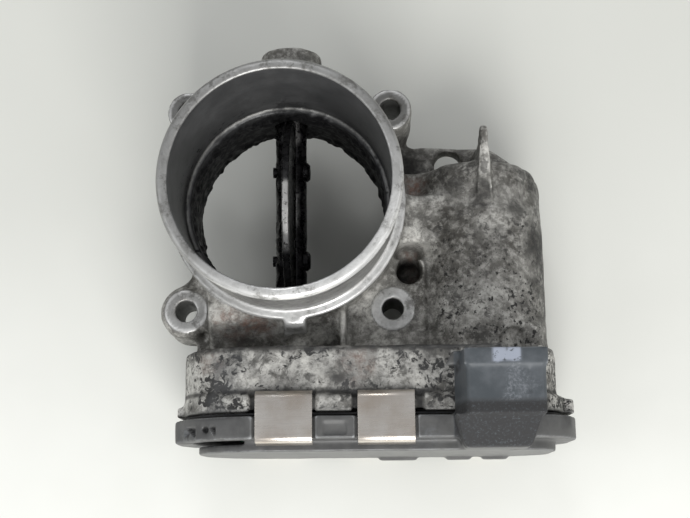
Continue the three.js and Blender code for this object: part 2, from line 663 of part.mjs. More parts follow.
/** The connector's shell on top of the cover, with the hood that leads its pins into the cover. */
function connectorShell() {
  const { left, right, mouthY, backY, top } = CONNECTOR;
  const seat = CASE.top + RIM_FLARE + CLEARANCE + 0.1;
  const shell = polygon([
    [left - 2.6, seat],
    [right + 1, seat],
    [right, top - 1],
    [right - 1, top],
    [left + 1, top],
    [left, top - 1],
  ]);
  const collar = polygon([
    [left - 1.2, seat + 3.4],
    [right + 0.9, seat + 3.4],
    [right + 0.6, top],
    [right - 0.6, top + 0.5],
    [left + 0.6, top + 0.5],
    [left - 0.6, top],
  ]);
  const hood = polygon([
    [left - 3, backY + OVERLAP],
    [left - 0.6, COVER_FRONT_Y + 1.4],
    [left + 0.6, COVER_FRONT_Y],
    [right - 4.4, COVER_FRONT_Y],
    [right - 3.4, COVER_FRONT_Y + 1.4],
    [right - 0.9, backY + OVERLAP],
  ]);
  const slope = polygon([
    [COVER_FRONT_Y, 36.5],
    [backY + OVERLAP, 36.5],
    [backY + OVERLAP, top - 1],
    [COVER_FRONT_Y, top - 7],
  ]);
  const hook = polygon([
    [left - 5.4, mouthY - 4],
    [left - 3.2, mouthY + 0.1],
    [left, mouthY + 0.1],
    [left, mouthY - 4],
  ]);
  return join(
    prismY(shell, [backY, mouthY - 1]),
    prismY(collar, [mouthY - 4.8, mouthY]),
    prismZ(hood, [36, 60]).intersect(prismX(slope, [40, 80])),
    prismZ(hook, [seat + 3.6, seat + 7]),
  );
}

const pinX = (index) => (CONNECTOR.left + CONNECTOR.right) / 2 + (index - (PIN_COUNT - 1) / 2) * PIN_PITCH;

function connectorCuts() {
  const { left, right, mouthY, backY, top, wall } = CONNECTOR;
  const socket = block([left + wall, right - wall], [-61.6, mouthY + 1], [PIN_Z - 3.9, top - wall]);
  const duct = block([left + wall, right - 3.1], [-69, backY + 1.6], [30, PIN_Z + 1.2]);
  const keyway = block([68.2, 69.6], [-61, -53.4], [top - 0.6, top + 1]);
  const pinHoles = Array.from({ length: PIN_COUNT }, (_, i) => {
    const half = PIN_WIDTH / 2 + CLEARANCE;
    return block([pinX(i) - half, pinX(i) + half], [-66, -60], [PIN_Z - half, PIN_Z + half]);
  });
  return [socket, duct, keyway, ...pinHoles];
}

/** Triangular pockets between the ribs at the cover's left shoulder. */
function ribPockets() {
  const radius = CASE.leftRadius + COVER_FLARE;
  const [middleX, middleZ] = [CASE.left + CASE.leftRadius, CASE.top - CASE.leftRadius];
  return [[-22.8, -71.6], [-17.4, -71.6], [-28.6, -68.6], [-22.4, -68]].map(([x, y]) => {
    const floor = middleZ + Math.sqrt(radius ** 2 - (x - middleX) ** 2) - 3.4;
    return prismZ(polygon([[x, y - 2.6], [x, y], [x - 2.8, y]]), [floor, 60]);
  });
}

function gearCover() {
  const rim = prismY(caseOutline(COVER_FLARE, 2.9, 5.4), [COVER_RIM_Y, COVER_BACK_Y], 8);
  const front = prismY(caseOutline(-2, -4.4, -0.8), [COVER_FRONT_Y, COVER_RIM_Y + OVERLAP], 8);
  const chamber = prismY(caseOutline(-CASE_WALL), [COVER_FRONT_Y + COVER_SKIN, COVER_BACK_Y + 1], 8);
  const notches = [
    ...TOP_CLIPS_X.map((x) => clipNotch(x, true)),
    ...BOTTOM_CLIPS_X.map((x) => clipNotch(x, false)),
  ];
  const pads = [[27, 39], [48.6, 56.4], [60, 68]].map(
    (span) => block(span, [COVER_FRONT_Y - 1, COVER_FRONT_Y + 1], [-12, -8]),
  );
  const [x0, x1] = [TOP_CLIPS_X[0] + CLIP_WIDTH / 2 + 3, TOP_CLIPS_X[1] - CLIP_WIDTH / 2 - 3];
  const inset = block([x0, x1], [-71, -67], [CASE.top + COVER_FLARE - 0.7, 60]);
  const pinSocket = ringY(2.5, 4.4, [COVER_FRONT_Y + 1, -70], IDLER.x, IDLER.z, 16);
  const whole = join(rim, front, ...pads, connectorShell());
  const shell = cut(whole, chamber, ...notches, ...connectorCuts(), inset);
  return piece('gear_cover', 'coverPlastic', cut(shell, ...ribPockets()).add(pinSocket));
}

function coverGasket() {
  const outline = caseOutline(RIM_FLARE - 0.8, 0, RIM_FLARE - 0.8);
  outline.holes.push(new THREE.Path(caseOutline(-CASE_WALL + 0.8).getPoints(8).reverse()));
  const span = [COVER_BACK_Y + CLEARANCE, RIM_FACE_Y - CLEARANCE];
  return piece('cover_gasket', 'rubber', prismY(outline, span, 8));
}

/** Spring clip that hooks behind the case's rim and over the front of the cover's rim. */
function coverClip(name, x, top) {
  const [rear, nose] = [RIM_BACK_Y + 1.1, COVER_RIM_Y - 1.1];
  const seat = RIM_FLARE + CLEARANCE + 0.1;
  const t = CLIP_THICKNESS;
  const outline = [
    [rear - t, 0.4],
    [rear, 0.4],
    [rear, seat + t - 1],
    [rear - 1, seat + t],
    [nose + 1.4, seat + t],
    [nose, seat + t - 1.2],
    [nose, 0.2],
    [nose - 0.5, -1.2],
    [nose - 0.5 + t, -1.4],
    [nose + t, 0],
    [nose + t, seat - 0.2],
    [nose + t + 0.2, seat],
    [rear - 1.2, seat],
    [rear - t, seat - 0.4],
  ];
  const points = outline.map(([y, lift]) => [y, top ? CASE.top + lift : CASE.bottom - lift]);
  const half = CLIP_WIDTH / 2;
  const profile = polygon(top ? points : points.reverse());
  return piece(name, 'springSteel', prismX(profile, [x - half, x + half]));
}

function coverClips() {
  return [
    ...TOP_CLIPS_X.map((x, i) => coverClip(`top_clip_${i + 1}`, x, true)),
    ...BOTTOM_CLIPS_X.map((x, i) => coverClip(`bottom_clip_${i + 1}`, x, false)),
  ];
}

function sensorBoard() {
  return piece('sensor_board', 'board', block([-14, 26], [-71.8, -70.4], [-2, 28]));
}

/** L-shaped terminals: a blade lies in the socket and its tail goes down into the cover. */
function connectorPins() {
  return Array.from({ length: PIN_COUNT }, (_, i) => {
    const half = PIN_WIDTH / 2;
    const span = [pinX(i) - half, pinX(i) + half];
    const outline = polygon([
      [-51.6, PIN_Z - half],
      [-51.6, PIN_Z + half],
      [-65.6, PIN_Z + half],
      [-67.2, PIN_Z - 1.4],
      [-67.2, 34],
      [-66.1, 34],
      [-66.1, PIN_Z - 1.8],
      [-65.2, PIN_Z - half],
    ].reverse());
    return piece(`connector_pin_${i + 1}`, 'brass', prismX(outline, span));
  });
}

// ---------------------------------------------------------------- assembly

const product = new THREE.Group();
product.add(
  throttleHousing(),
  throttleShaft(),
  throttlePlate(),
  ...[-PLATE_SCREW_Y, PLATE_SCREW_Y].map((y, i) => plateScrew(i + 1, y)),
  ...shaftRings(),
  boreEndPlug(),
  sectorGear(),
  idlerGear(),
  idlerPin(),
  motorPinion(),
  returnSpring(),
  sensorMagnet(),
  motorCan(),
  motorEndPlate(),
  ...motorScrews(),
  ...motorRotor(),
  ...motorStator(),
  gearCover(),
  coverGasket(),
  ...coverClips(),
  sensorBoard(),
  ...connectorPins(),
);

const extent = new THREE.Box3().setFromObject(product);
const footprint = extent.getCenter(new THREE.Vector3());
product.position.set(-footprint.x, -footprint.y, -extent.min.z);
product.updateMatrixWorld(true);

export default product;
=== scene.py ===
"""Looks of a motor-driven throttle body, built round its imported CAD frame.

Lengths are drawn in millimetres about the bore: X = Y = 0 is the bore's axis, Z = 0 the manifold
flange's face. Datum moves them into the row frame, in metres.
"""

import json
import logging
import math
from dataclasses import dataclass, field
from enum import Enum

import bmesh
import bpy
import numpy as np
from mathutils import Matrix, Vector


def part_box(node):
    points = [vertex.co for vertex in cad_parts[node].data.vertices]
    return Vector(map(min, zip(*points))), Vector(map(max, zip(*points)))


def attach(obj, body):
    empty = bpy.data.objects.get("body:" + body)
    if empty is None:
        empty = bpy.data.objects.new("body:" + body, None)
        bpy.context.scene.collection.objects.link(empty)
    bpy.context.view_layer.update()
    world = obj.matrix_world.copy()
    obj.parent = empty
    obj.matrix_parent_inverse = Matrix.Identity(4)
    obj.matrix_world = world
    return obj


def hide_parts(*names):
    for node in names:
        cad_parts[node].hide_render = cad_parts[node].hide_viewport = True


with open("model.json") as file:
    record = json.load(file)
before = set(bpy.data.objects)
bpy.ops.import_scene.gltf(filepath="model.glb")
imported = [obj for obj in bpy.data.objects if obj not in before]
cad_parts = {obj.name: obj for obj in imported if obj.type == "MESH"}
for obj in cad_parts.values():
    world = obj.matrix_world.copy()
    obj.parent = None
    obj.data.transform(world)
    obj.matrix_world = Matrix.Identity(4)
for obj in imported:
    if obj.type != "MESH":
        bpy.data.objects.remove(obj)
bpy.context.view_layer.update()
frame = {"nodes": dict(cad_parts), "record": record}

LOG = logging.getLogger("throttle_body")
MM = 0.001
Colour = tuple[float, float, float]


# ---------------------------------------------------------------- places and fields


@dataclass(frozen=True)
class Datum:
    """Where the bore's axis and the flange's face are in the row frame, in metres."""

    origin: Vector

    @classmethod
    def from_frame(cls, rim_height: float = 63.0) -> "Datum":
        """Finds the bore from the throttle plate's box and the hose rim's height.

        Args:
            rim_height: height of the hose rim above the flange's face, in millimetres.

        Returns:
            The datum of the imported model.
        """
        low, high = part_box("throttle_plate")
        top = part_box("throttle_housing")[1].z
        middle = (low + high) / 2
        return cls(Vector((middle.x, middle.y, top - rim_height * MM)))

    def local(self, mesh: bpy.types.Mesh) -> np.ndarray:
        """Returns the mesh's vertices about the bore, in millimetres."""
        flat = np.empty(len(mesh.vertices) * 3, np.float32)
        mesh.vertices.foreach_get("co", flat)
        return (flat.reshape(-1, 3).astype(float) - np.array(self.origin)) / MM

    def store(self, mesh: bpy.types.Mesh, points: np.ndarray) -> None:
        """Writes points given about the bore, in millimetres, back to the mesh."""
        placed = points * MM + np.array(self.origin)
        mesh.vertices.foreach_set("co", placed.astype(np.float32).ravel())
        mesh.update()

    def place(self, x: float, y: float, z: float) -> Vector:
        """Returns a point given about the bore, in millimetres, in the row frame."""
        return self.origin + Vector((x, y, z)) * MM


def lattice(points: np.ndarray, seed: int) -> np.ndarray:
    """Gives each whole-numbered lattice point its own value from -1 to 1.

    Args:
        points: whole-numbered coordinates, three to a row.
        seed: which of the fields of values to read.

    Returns:
        One value for each row.
    """
    mixed = points.astype(np.int64) @ np.array([374761393, 668265263, 2147483647]) + seed * 974634777
    mixed = (mixed ^ (mixed >> 13)) * 1274126177
    return ((mixed ^ (mixed >> 16)) & 0xFFFF) / 32767.5 - 1.0


def lumps(points: np.ndarray, size: float, seed: int, octaves: int = 2) -> np.ndarray:
    """Smooth random field with lumps of one size and smaller ones on them.

    Args:
        points: places in millimetres, three to a row.
        size: width of the largest lumps, in millimetres.
        seed: which random field to read.
        octaves: how many sizes are added, each half of the one before.

    Returns:
        About -1 to 1 for each place.
    """
    total = np.zeros(len(points))
    for octave in range(octaves):
        scaled = points / size * 2**octave
        base = np.floor(scaled)
        share = scaled - base
        share = share * share * (3 - 2 * share)
        value = np.zeros(len(points))
        for corner in range(8):
            step = np.array([corner & 1, corner >> 1 & 1, corner >> 2 & 1])
            weight = np.prod(np.where(step == 1, share, 1 - share), axis=1)
            value += weight * lattice(base + step, seed + octave)
        total += value / 2**octave
    return total


def ease(values: np.ndarray, start: float, end: float) -> np.ndarray:
    """Rises smoothly from 0 at start to 1 at end, or falls if end is the smaller."""
    share = np.clip((values - start) / (end - start), 0, 1)
    return share * share * (3 - 2 * share)


@dataclass(frozen=True)
class Patch:
    """A soft-edged spot about the bore, in millimetres."""

    x: float
    y: float
    z: float
    radius: float
    amount: float = 1.0

    def on(self, points: np.ndarray) -> np.ndarray:
        """Returns how much of the patch each point has."""
        away = np.linalg.norm(points - np.array([self.x, self.y, self.z]), axis=1)
        return self.amount * ease(away, self.radius, self.radius * 0.35)


def patches(points: np.ndarray, spots: tuple[Patch, ...], seed: int) -> np.ndarray:
    """Adds several ragged patches.

    Args:
        points: places in millimetres, three to a row.
        spots: the patches.
        seed: random field that makes their edges ragged.

    Returns:
        0 to 1 for each place.
    """
    moved = points + 2.2 * np.stack([lumps(points, 5, seed + i, 3) for i in range(3)], axis=1)
    return np.clip(sum(spot.on(moved) for spot in spots), 0, 1)


# ---------------------------------------------------------------- meshes


class Skin:
    """An even, editable mesh over a CAD node's solid."""

    def __init__(self, node: str, name: str, voxel: float, datum: Datum) -> None:
        """Covers the node's solid with an even mesh.

        Args:
            node: the CAD node.
            name: the new piece's name.
            voxel: length of the mesh's edges, in millimetres.
            datum: where the bore is.
        """
        self.node = node
        self.datum = datum
        source = frame["nodes"][node]
        rough = bpy.data.objects.new(name, source.data.copy())
        bpy.context.scene.collection.objects.link(rough)
        remesh = rough.modifiers.new("skin", "REMESH")
        remesh.mode = "VOXEL"
        remesh.voxel_size = voxel * MM
        graph = bpy.context.evaluated_depsgraph_get()
        mesh = bpy.data.meshes.new_from_object(rough.evaluated_get(graph), depsgraph=graph)
        rough.modifiers.clear()
        rough.data = mesh
        mesh.materials.clear()
        self.object = rough
        self.mesh = mesh
        self.points = datum.local(mesh)
        edges = np.empty(len(mesh.edges) * 2, np.int32)
        mesh.edges.foreach_get("vertices", edges)
        self.edges = edges.reshape(-1, 2)
        ends = self.edges.ravel()
        self.degree = np.maximum(np.bincount(ends, minlength=len(self.points)), 1)

    def smooth(self, steps: int, weight: np.ndarray | float = 1.0) -> None:
        """Rounds the surface off.

        Args:
            steps: how many times each point moves half-way to its neighbours' mean.
            weight: 0 where a point stays, 1 where it moves freely.
        """
        first, second = self.edges.T
        count = len(self.points)
        share = np.broadcast_to(np.asarray(weight, float), (count,)) * 0.5
        for _ in range(steps):
            for axis in range(3):
                along = self.points[:, axis]
                total = np.bincount(first, along[second], count) + np.bincount(second, along[first], count)
                self.points[:, axis] = along + share * (total / self.degree - along)

    def snap(self, profile: np.ndarray, reach: float, where: np.ndarray) -> None:
        """Puts points near a turned surface exactly on it.

        Args:
            profile: radius and height of the turned surface's corners, in order.
            reach: how near a point has to be, in millimetres.
            where: True for the points that may move.
        """
        radius = np.hypot(self.points[:, 0], self.points[:, 1])
        height = self.points[:, 2]
        best = np.full(len(radius), np.inf)
        placed = np.stack([radius, height], axis=1)
        near = placed.copy()
        for start, end in zip(profile[:-1], profile[1:]):
            run = end - start
            share = np.clip((placed - start) @ run / (run @ run), 0, 1)
            foot = start + share[:, None] * run
            away = np.linalg.norm(placed - foot, axis=1)
            closer = away < best
            best = np.where(closer, away, best)
            near[closer] = foot[closer]
        moved = where & (best < reach)
        scale = np.where(moved, near[:, 0] / np.maximum(radius, 1e-6), 1.0)
        self.points[:, 0] *= scale
        self.points[:, 1] *= scale
        self.points[:, 2] = np.where(moved, near[:, 1], height)

    def normals(self) -> np.ndarray:
        """Returns each point's outward direction."""
        self.datum.store(self.mesh, self.points)
        flat = np.empty(len(self.points) * 3, np.float32)
        self.mesh.vertex_normals.foreach_get("vector", flat)
        return flat.reshape(-1, 3).astype(float)

    def push(self, distance: np.ndarray) -> None:
        """Moves each point out by its own distance, in millimetres."""
        self.points += self.normals() * distance[:, None]

    def mask(self, name: str, values: np.ndarray) -> None:
        """Stores a share from 0 to 1 on each point for the finish to read."""
        layer = self.mesh.attributes.new(name, "FLOAT", "POINT")
        layer.data.foreach_set("value", np.clip(values, 0, 1).astype(np.float32))

    def keep_inside(self, margin: float = 0.01) -> None:
        """Holds every point inside the CAD node's box, less a margin in millimetres."""
        low, high = (np.array((corner - self.datum.origin) / MM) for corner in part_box(self.node))
        self.points = np.clip(self.points, low + margin, high - margin)

    def finish(self, material: bpy.types.Material, body: str, slot: str) -> bpy.types.Object:
        """Stores the shape, dresses it and hangs it on its body in place of the CAD node.

        Args:
            material: the finish.
            body: the body that it rides on.
            slot: the record's material slot; not used.

        Returns:
            The finished object.
        """
        self.keep_inside()
        self.datum.store(self.mesh, self.points)
        self.mesh.polygons.foreach_set("use_smooth", [True] * len(self.mesh.polygons))
        self.mesh.materials.append(material)
        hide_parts(self.node)
        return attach(self.object, body)


# ---------------------------------------------------------------- finishes


class Recipe:
    """A material's node tree, with short ways to add what the finishes are made of."""

    def __init__(self, name: str) -> None:
        """Starts an empty material with one Principled shader.

        Args:
            name: the material's name.
        """
        self.material = bpy.data.materials.new(name)
        self.material.use_nodes = True
        self.nodes = self.material.node_tree.nodes
        self.links = self.material.node_tree.links
        self.shader = self.nodes["Principled BSDF"]
        self.place = self.nodes.new("ShaderNodeTexCoord").outputs["Object"]

    def node(self, kind: str, **inputs: object) -> bpy.types.Node:
        """Adds a node and sets or links its inputs.

        Args:
            kind: the node's type name.
            **inputs: value or socket for each input, by its name in lower case with underscores.

        Returns:
            The node.
        """
        made = self.nodes.new(kind)
        names = {socket.name.lower().replace(" ", "_"): socket for socket in made.inputs}
        for name, value in inputs.items():
            self.feed(names[name], value)
        return made

    def feed(self, socket: bpy.types.NodeSocket, value: object) -> None:
        """Links a socket to another, or sets its value."""
        if isinstance(value, bpy.types.NodeSocket):
            self.links.new(value, socket)
        elif isinstance(value, tuple) and socket.type == "RGBA":
            socket.default_value = (*value, 1.0)
        else:
            socket.default_value = value

    def stretched(self, x: float, y: float, z: float) -> bpy.types.NodeSocket:
        """Returns the place with each axis scaled, for grain that runs one way."""
        mapping = self.node("ShaderNodeMapping", vector=self.place)
        mapping.inputs["Scale"].default_value = (x, y, z)
        return mapping.outputs["Vector"]

    def noise(self, size: float, detail: float = 6.0, rough: float = 0.6, warp: float = 0.0,
              place: bpy.types.NodeSocket | None = None) -> bpy.types.NodeSocket:
        """Adds cloudy noise.

        Args:
            size: width of its largest blobs, in millimetres.
            detail: how many finer layers it has.
            rough: how strong the finer layers are.
            warp: how far it is twisted.
            place: coordinates to read, the object's own by default.

        Returns:
            Its value, about 0.3 to 0.7.
        """
        made = self.node("ShaderNodeTexNoise", vector=place or self.place, scale=1000 / size,
                         detail=detail, roughness=rough, distortion=warp)
        return made.outputs["Fac"]

    def step(self, value: bpy.types.NodeSocket, start: float, end: float) -> bpy.types.NodeSocket:
        """Turns a value into 0 below start and 1 above end, or the other way round."""
        made = self.nodes.new("ShaderNodeMapRange")
        made.interpolation_type = "SMOOTHSTEP"
        low, high, first, last = (start, end, 0.0, 1.0) if start < end else (end, start, 1.0, 0.0)
        self.links.new(value, made.inputs["Value"])
        for name, number in (("From Min", low), ("From Max", high), ("To Min", first), ("To Max", last)):
            made.inputs[name].default_value = number
        return made.outputs["Result"]

    def sum(self, kind: str, first: object, second: object) -> bpy.types.NodeSocket:
        """Adds a Math node, clamped to 0..1, for two values or sockets."""
        made = self.nodes.new("ShaderNodeMath")
        made.operation = kind
        made.use_clamp = True
        self.feed(made.inputs[0], first)
        self.feed(made.inputs[1], second)
        return made.outputs[0]

    def both(self, first: object, second: object) -> bpy.types.NodeSocket:
        """Returns the product of two shares."""
        return self.sum("MULTIPLY", first, second)

    def either(self, first: object, second: object) -> bpy.types.NodeSocket:
        """Returns the larger of two shares."""
        return self.sum("MAXIMUM", first, second)

    def blend(self, share: object, first: object, second: object) -> bpy.types.NodeSocket:
        """Mixes two colours.

        Args:
            share: 0 for the first, 1 for the second.
            first: a colour or socket.
            second: a colour or socket.

        Returns:
            The mixed colour.
        """
        made = self.nodes.new("ShaderNodeMix")
        made.data_type = "RGBA"
        self.feed(made.inputs["Factor"], share)
        for name, value in (("A", first), ("B", second)):
            self.feed(next(s for s in made.inputs if s.name == name and s.type == "RGBA"), value)
        return next(s for s in made.outputs if s.type == "RGBA")

    def coats(self, base: object, *layers: tuple[object, object]) -> object:
        """Lays coats of colour over a base.

        Args:
            base: the lowest colour.
            *layers: share and colour of each coat, from the lowest up.

        Returns:
            The colour seen from outside.
        """
        for share, colour in layers:
            base = self.blend(share, base, colour)
        return base

    def level(self, share: object, first: object, second: object) -> bpy.types.NodeSocket:
        """Mixes two numbers, as blend does two colours."""
        made = self.nodes.new("ShaderNodeMix")
        self.feed(made.inputs["Factor"], share)
        self.feed(made.inputs[2], first)
        self.feed(made.inputs[3], second)
        return made.outputs[0]

    def mask(self, name: str) -> bpy.types.NodeSocket:
        """Returns a share that the mesh holds on its points."""
        made = self.nodes.new("ShaderNodeAttribute")
        made.attribute_name = name
        return made.outputs["Fac"]

    def edges(self, low: float, high: float) -> bpy.types.NodeSocket:
        """Returns 1 on outward edges and 0 elsewhere, from the mesh's own curvature."""
        return self.step(self.nodes.new("ShaderNodeNewGeometry").outputs["Pointiness"], low, high)

    def relief(self, height: bpy.types.NodeSocket, depth: float, strength: float = 1.0,
               under: bpy.types.NodeSocket | None = None) -> bpy.types.NodeSocket:
        """Adds fine relief to the surface.

        Args:
            height: 0 to 1.
            depth: height that 1 stands for, in millimetres.
            strength: how much of it shows.
            under: relief that this one lies on.

        Returns:
            The bent normal.
        """
        made = self.node("ShaderNodeBump", height=height, distance=depth * MM, strength=strength)
        if under is not None:
            self.links.new(under, made.inputs["Normal"])
        return made.outputs["Normal"]

    def finish(self, colour: object, metal: object, rough: object,
               normal: bpy.types.NodeSocket | None = None) -> bpy.types.Material:
        """Feeds the shader and returns the material.

        Args:
            colour: colour or socket.
            metal: how metallic it is, number or socket.
            rough: roughness, number or socket.
            normal: bent normal, if the surface has relief.

        Returns:
            The finished material.
        """
        self.feed(self.shader.inputs["Base Color"], colour)
        self.feed(self.shader.inputs["Metallic"], metal)
        self.feed(self.shader.inputs["Roughness"], rough)
        if normal is not None:
            self.links.new(normal, self.shader.inputs["Normal"])
        return self.material


@dataclass(frozen=True)
class CastFinish:
    """Oxidised sand-grey casting, with bright machined faces, sooty film, black crust and stains, painted
    highlights on the turned rim and front bolt seats, and painted shade in crooks, gaps and hollows.
    """

    pale: Colour = (0.60, 0.59, 0.555)
    grey: Colour = (0.20, 0.195, 0.18)
    dark: Colour = (0.07, 0.066, 0.058)
    pit_and_shade: Colour = (0.024, 0.023, 0.022)
    milled: Colour = (0.235, 0.235, 0.228)
    bright: Colour = (0.70, 0.70, 0.69)
    film: Colour = (0.040, 0.041, 0.043)
    thin_film: Colour = (0.085, 0.086, 0.088)
    crust: Colour = (0.005, 0.005, 0.006)
    rust: Colour = (0.20, 0.11, 0.082)

    def make(self) -> bpy.types.Material:
        """Builds the material."""
        mix = Recipe("cast_aluminium")
        cloud = mix.noise(14, 8, 0.62)
        fine = mix.noise(2.2, 6, 0.7)
        machined, polish_and_highlight = mix.mask("machined"), mix.mask("polish_and_highlight")
        film, mottle = mix.mask("film"), mix.mask("mottle")
        blots = self.blots(mix, mottle)
        specks = mix.both(mix.step(mix.noise(1.9, 3, 0.55), 0.62, 0.67), mix.mask("specks"))
        specks = mix.either(mix.mask("crust"), specks)
        streaks = mix.noise(3, 6, 0.75, 0.3, mix.stretched(0.25, 0.25, 3.0))

        stains = mix.both(mix.step(mix.noise(6.5, 8, 0.68, 0.5), 0.49, 0.40), mottle)
        grit = mix.step(mix.noise(0.75, 4, 0.7), 0.44, 0.32)
        worn = mix.both(mix.edges(0.515, 0.56), mix.step(mix.noise(4, 5, 0.7), 0.42, 0.55))
        base = mix.blend(mix.step(cloud, 0.37, 0.60), self.dark, self.grey)
        base = mix.coats(
            base,
            (mix.step(fine, 0.42, 0.66), mix.blend(0.45, base, self.pale)),
            # Pale patches: real scuffs, and on the housing also painted light in shaded hollows.
            (mix.mask("scuff"), mix.blend(mix.step(fine, 0.3, 0.6), self.grey, self.pale)),
            (mix.mask("rust"), mix.blend(mix.step(fine, 0.35, 0.65), self.rust, self.grey)),
            # Grime coat: real grime plus painted shade in crooks, gaps, hollows and on the barrel's right
            # side.
            (mix.mask("grime_and_shade"), mix.blend(mix.step(fine, 0.45, 0.7), self.pit_and_shade, self.dark)),
            (mix.both(stains, 0.75), self.dark),
            (mix.both(grit, 0.55), self.dark),
            (blots, self.pit_and_shade),
            (worn, self.pale),
            (machined, self.turned_metal(mix, polish_and_highlight, streaks)),
            (film, mix.blend(mix.step(cloud, 0.35, 0.7), self.film, self.thin_film)),
            (specks, self.crust),
        )

        rough = mix.level(mix.step(fine, 0.35, 0.65), 0.62, 0.5)
        turned = mix.level(polish_and_highlight, 0.5, mix.level(mix.step(streaks, 0.4, 0.6), 0.42, 0.28))
        rough = mix.level(film, mix.level(machined, rough, turned), 0.38)
        rough = mix.level(specks, rough, mix.level(mix.step(fine, 0.4, 0.6), 0.5, 0.85))

        shine = mix.level(machined, 0.35, mix.level(polish_and_highlight, 0.85, 0.45))
        shine = mix.level(specks, mix.level(film, shine, 0.35), 0.0)

        grain = mix.sum("SUBTRACT", mix.noise(0.9, 5, 0.65), mix.both(blots, 0.35))
        grain = mix.level(mix.either(machined, film), grain, mix.both(streaks, 0.12))
        return mix.finish(base, shine, rough, mix.relief(grain, 0.28, 0.8))

    def blots(self, mix: Recipe, mottle: bpy.types.NodeSocket) -> bpy.types.NodeSocket:
        """Adds black blots in clusters, and small pits where the mesh's pitted mask says.

        Args:
            mix: the material's node tree.
            mottle: share of the surface that has clusters.

        Returns:
            Where the blots and the pits are.
        """
        clusters = mix.level(0.42, mix.noise(2.4, 7, 0.66, 0.9), mix.noise(12, 5, 0.6))
        pits = mix.level(0.3, mix.noise(1.4, 3, 0.5), mix.noise(9, 4, 0.6))
        pits = mix.both(mix.step(pits, 0.435, 0.385), mix.mask("pitted"))
        return mix.either(mix.both(mix.step(clusters, 0.480, 0.440), mottle), pits)

    def turned_metal(self, mix: Recipe, polish_and_highlight: bpy.types.NodeSocket,
                     streaks: bpy.types.NodeSocket) -> bpy.types.NodeSocket:
        """Adds the colour of the machined faces: tool streaks and cloudy tarnish.

        Args:
            mix: the material's node tree.
            polish_and_highlight: share that is rubbed bright, plus painted highlight on the lit side of the
                rim and on the front bolt seats.
            streaks: noise that runs round the bore.

        Returns:
            The colour.
        """
        # The bright colour serves both rubbed metal and painted highlight.
        metal = mix.blend(polish_and_highlight, self.milled, self.bright)
        metal = mix.blend(mix.step(streaks, 0.36, 0.62), mix.blend(0.4, metal, self.dark), metal)
        tarnish = mix.both(mix.step(mix.noise(5, 7, 0.72), 0.52, 0.64), 0.6)
        return mix.blend(tarnish, metal, self.dark)


@dataclass(frozen=True)
class SootedMetal:
    """Dark metal under oily soot that is rubbed bare where the mesh's bare mask says."""

    name: str
    soot: Colour = (0.007, 0.007, 0.008)
    skin: Colour = (0.028, 0.027, 0.028)
    bare: Colour = (0.62, 0.61, 0.59)

    def make(self) -> bpy.types.Material:
        """Builds the material."""
        mix = Recipe(self.name)
        fine = mix.noise(1.6, 6, 0.7)
        base = mix.blend(mix.step(fine, 0.42, 0.62), self.soot, self.skin)
        rub = mix.both(mix.mask("bare"), mix.step(mix.noise(1.3, 5, 0.7), 0.36, 0.46))
        base = mix.blend(rub, base, self.bare)
        rough = mix.level(rub, mix.level(mix.step(fine, 0.4, 0.6), 0.2, 0.5), 0.3)
        metal = mix.level(rub, mix.level(mix.mask("crust"), 0.55, 0.0), 0.95)
        return mix.finish(base, metal, rough, mix.relief(mix.noise(0.8, 5, 0.65), 0.2, 0.7))


@dataclass(frozen=True)
class CoverPlastic:
    """Glass-filled slate plastic: matte and dusty on the cover, bluer and scuffed on the connector, with
    painted shade in its creases and pockets.
    """

    slate: Colour = (0.050, 0.050, 0.050)
    dusty: Colour = (0.092, 0.092, 0.090)
    blue: Colour = (0.047, 0.055, 0.062)
    scuffed: Colour = (0.13, 0.14, 0.155)
    paint: Colour = (0.27, 0.295, 0.35)
    soil_and_shade: Colour = (0.02, 0.02, 0.021)
    edge_wear_and_highlight: Colour = (0.32, 0.33, 0.34)

    def make(self) -> bpy.types.Material:
        """Builds the material."""
        mix = Recipe("cover_plastic")
        cloud = mix.noise(9, 7, 0.65)
        fine = mix.noise(0.8, 5, 0.7)
        shell = mix.blend(mix.step(cloud, 0.4, 0.7), self.blue, mix.blend(0.35, self.blue, self.scuffed))
        # Pale convex edges: wear plus painted highlight.
        edge = mix.both(mix.edges(0.52, 0.57), mix.step(mix.noise(5, 6, 0.7), 0.38, 0.56))
        daub = mix.both(mix.mask("paint"), mix.step(mix.noise(1.6, 4, 0.6), 0.34, 0.42))
        front, soil_and_shade = mix.mask("front"), mix.mask("soil_and_shade")
        base = mix.coats(
            mix.blend(mix.step(cloud, 0.34, 0.76), self.slate, self.dusty),
            (mix.mask("connector"), shell),
            (mix.both(mix.mask("scuff"), mix.step(fine, 0.46, 0.6)), self.scuffed),
            (mix.both(edge, 0.7), self.edge_wear_and_highlight),
            (mix.both(soil_and_shade, mix.step(fine, 0.25, 0.5)), self.soil_and_shade),
            # Painted shade: concave creases darkened by the mesh's curvature.
            (mix.edges(0.46, 0.40), self.soil_and_shade),
            (daub, self.paint),
        )
        rough = mix.level(mix.step(cloud, 0.4, 0.65), 0.42, 0.58)
        for share, level in ((daub, 0.35), (soil_and_shade, 0.85), (front, 0.4)):
            rough = mix.level(share, rough, level)
        grain = mix.both(fine, mix.level(front, 1.0, 0.12))
        return mix.finish(base, 0.0, rough, mix.relief(grain, 0.07, 0.6))


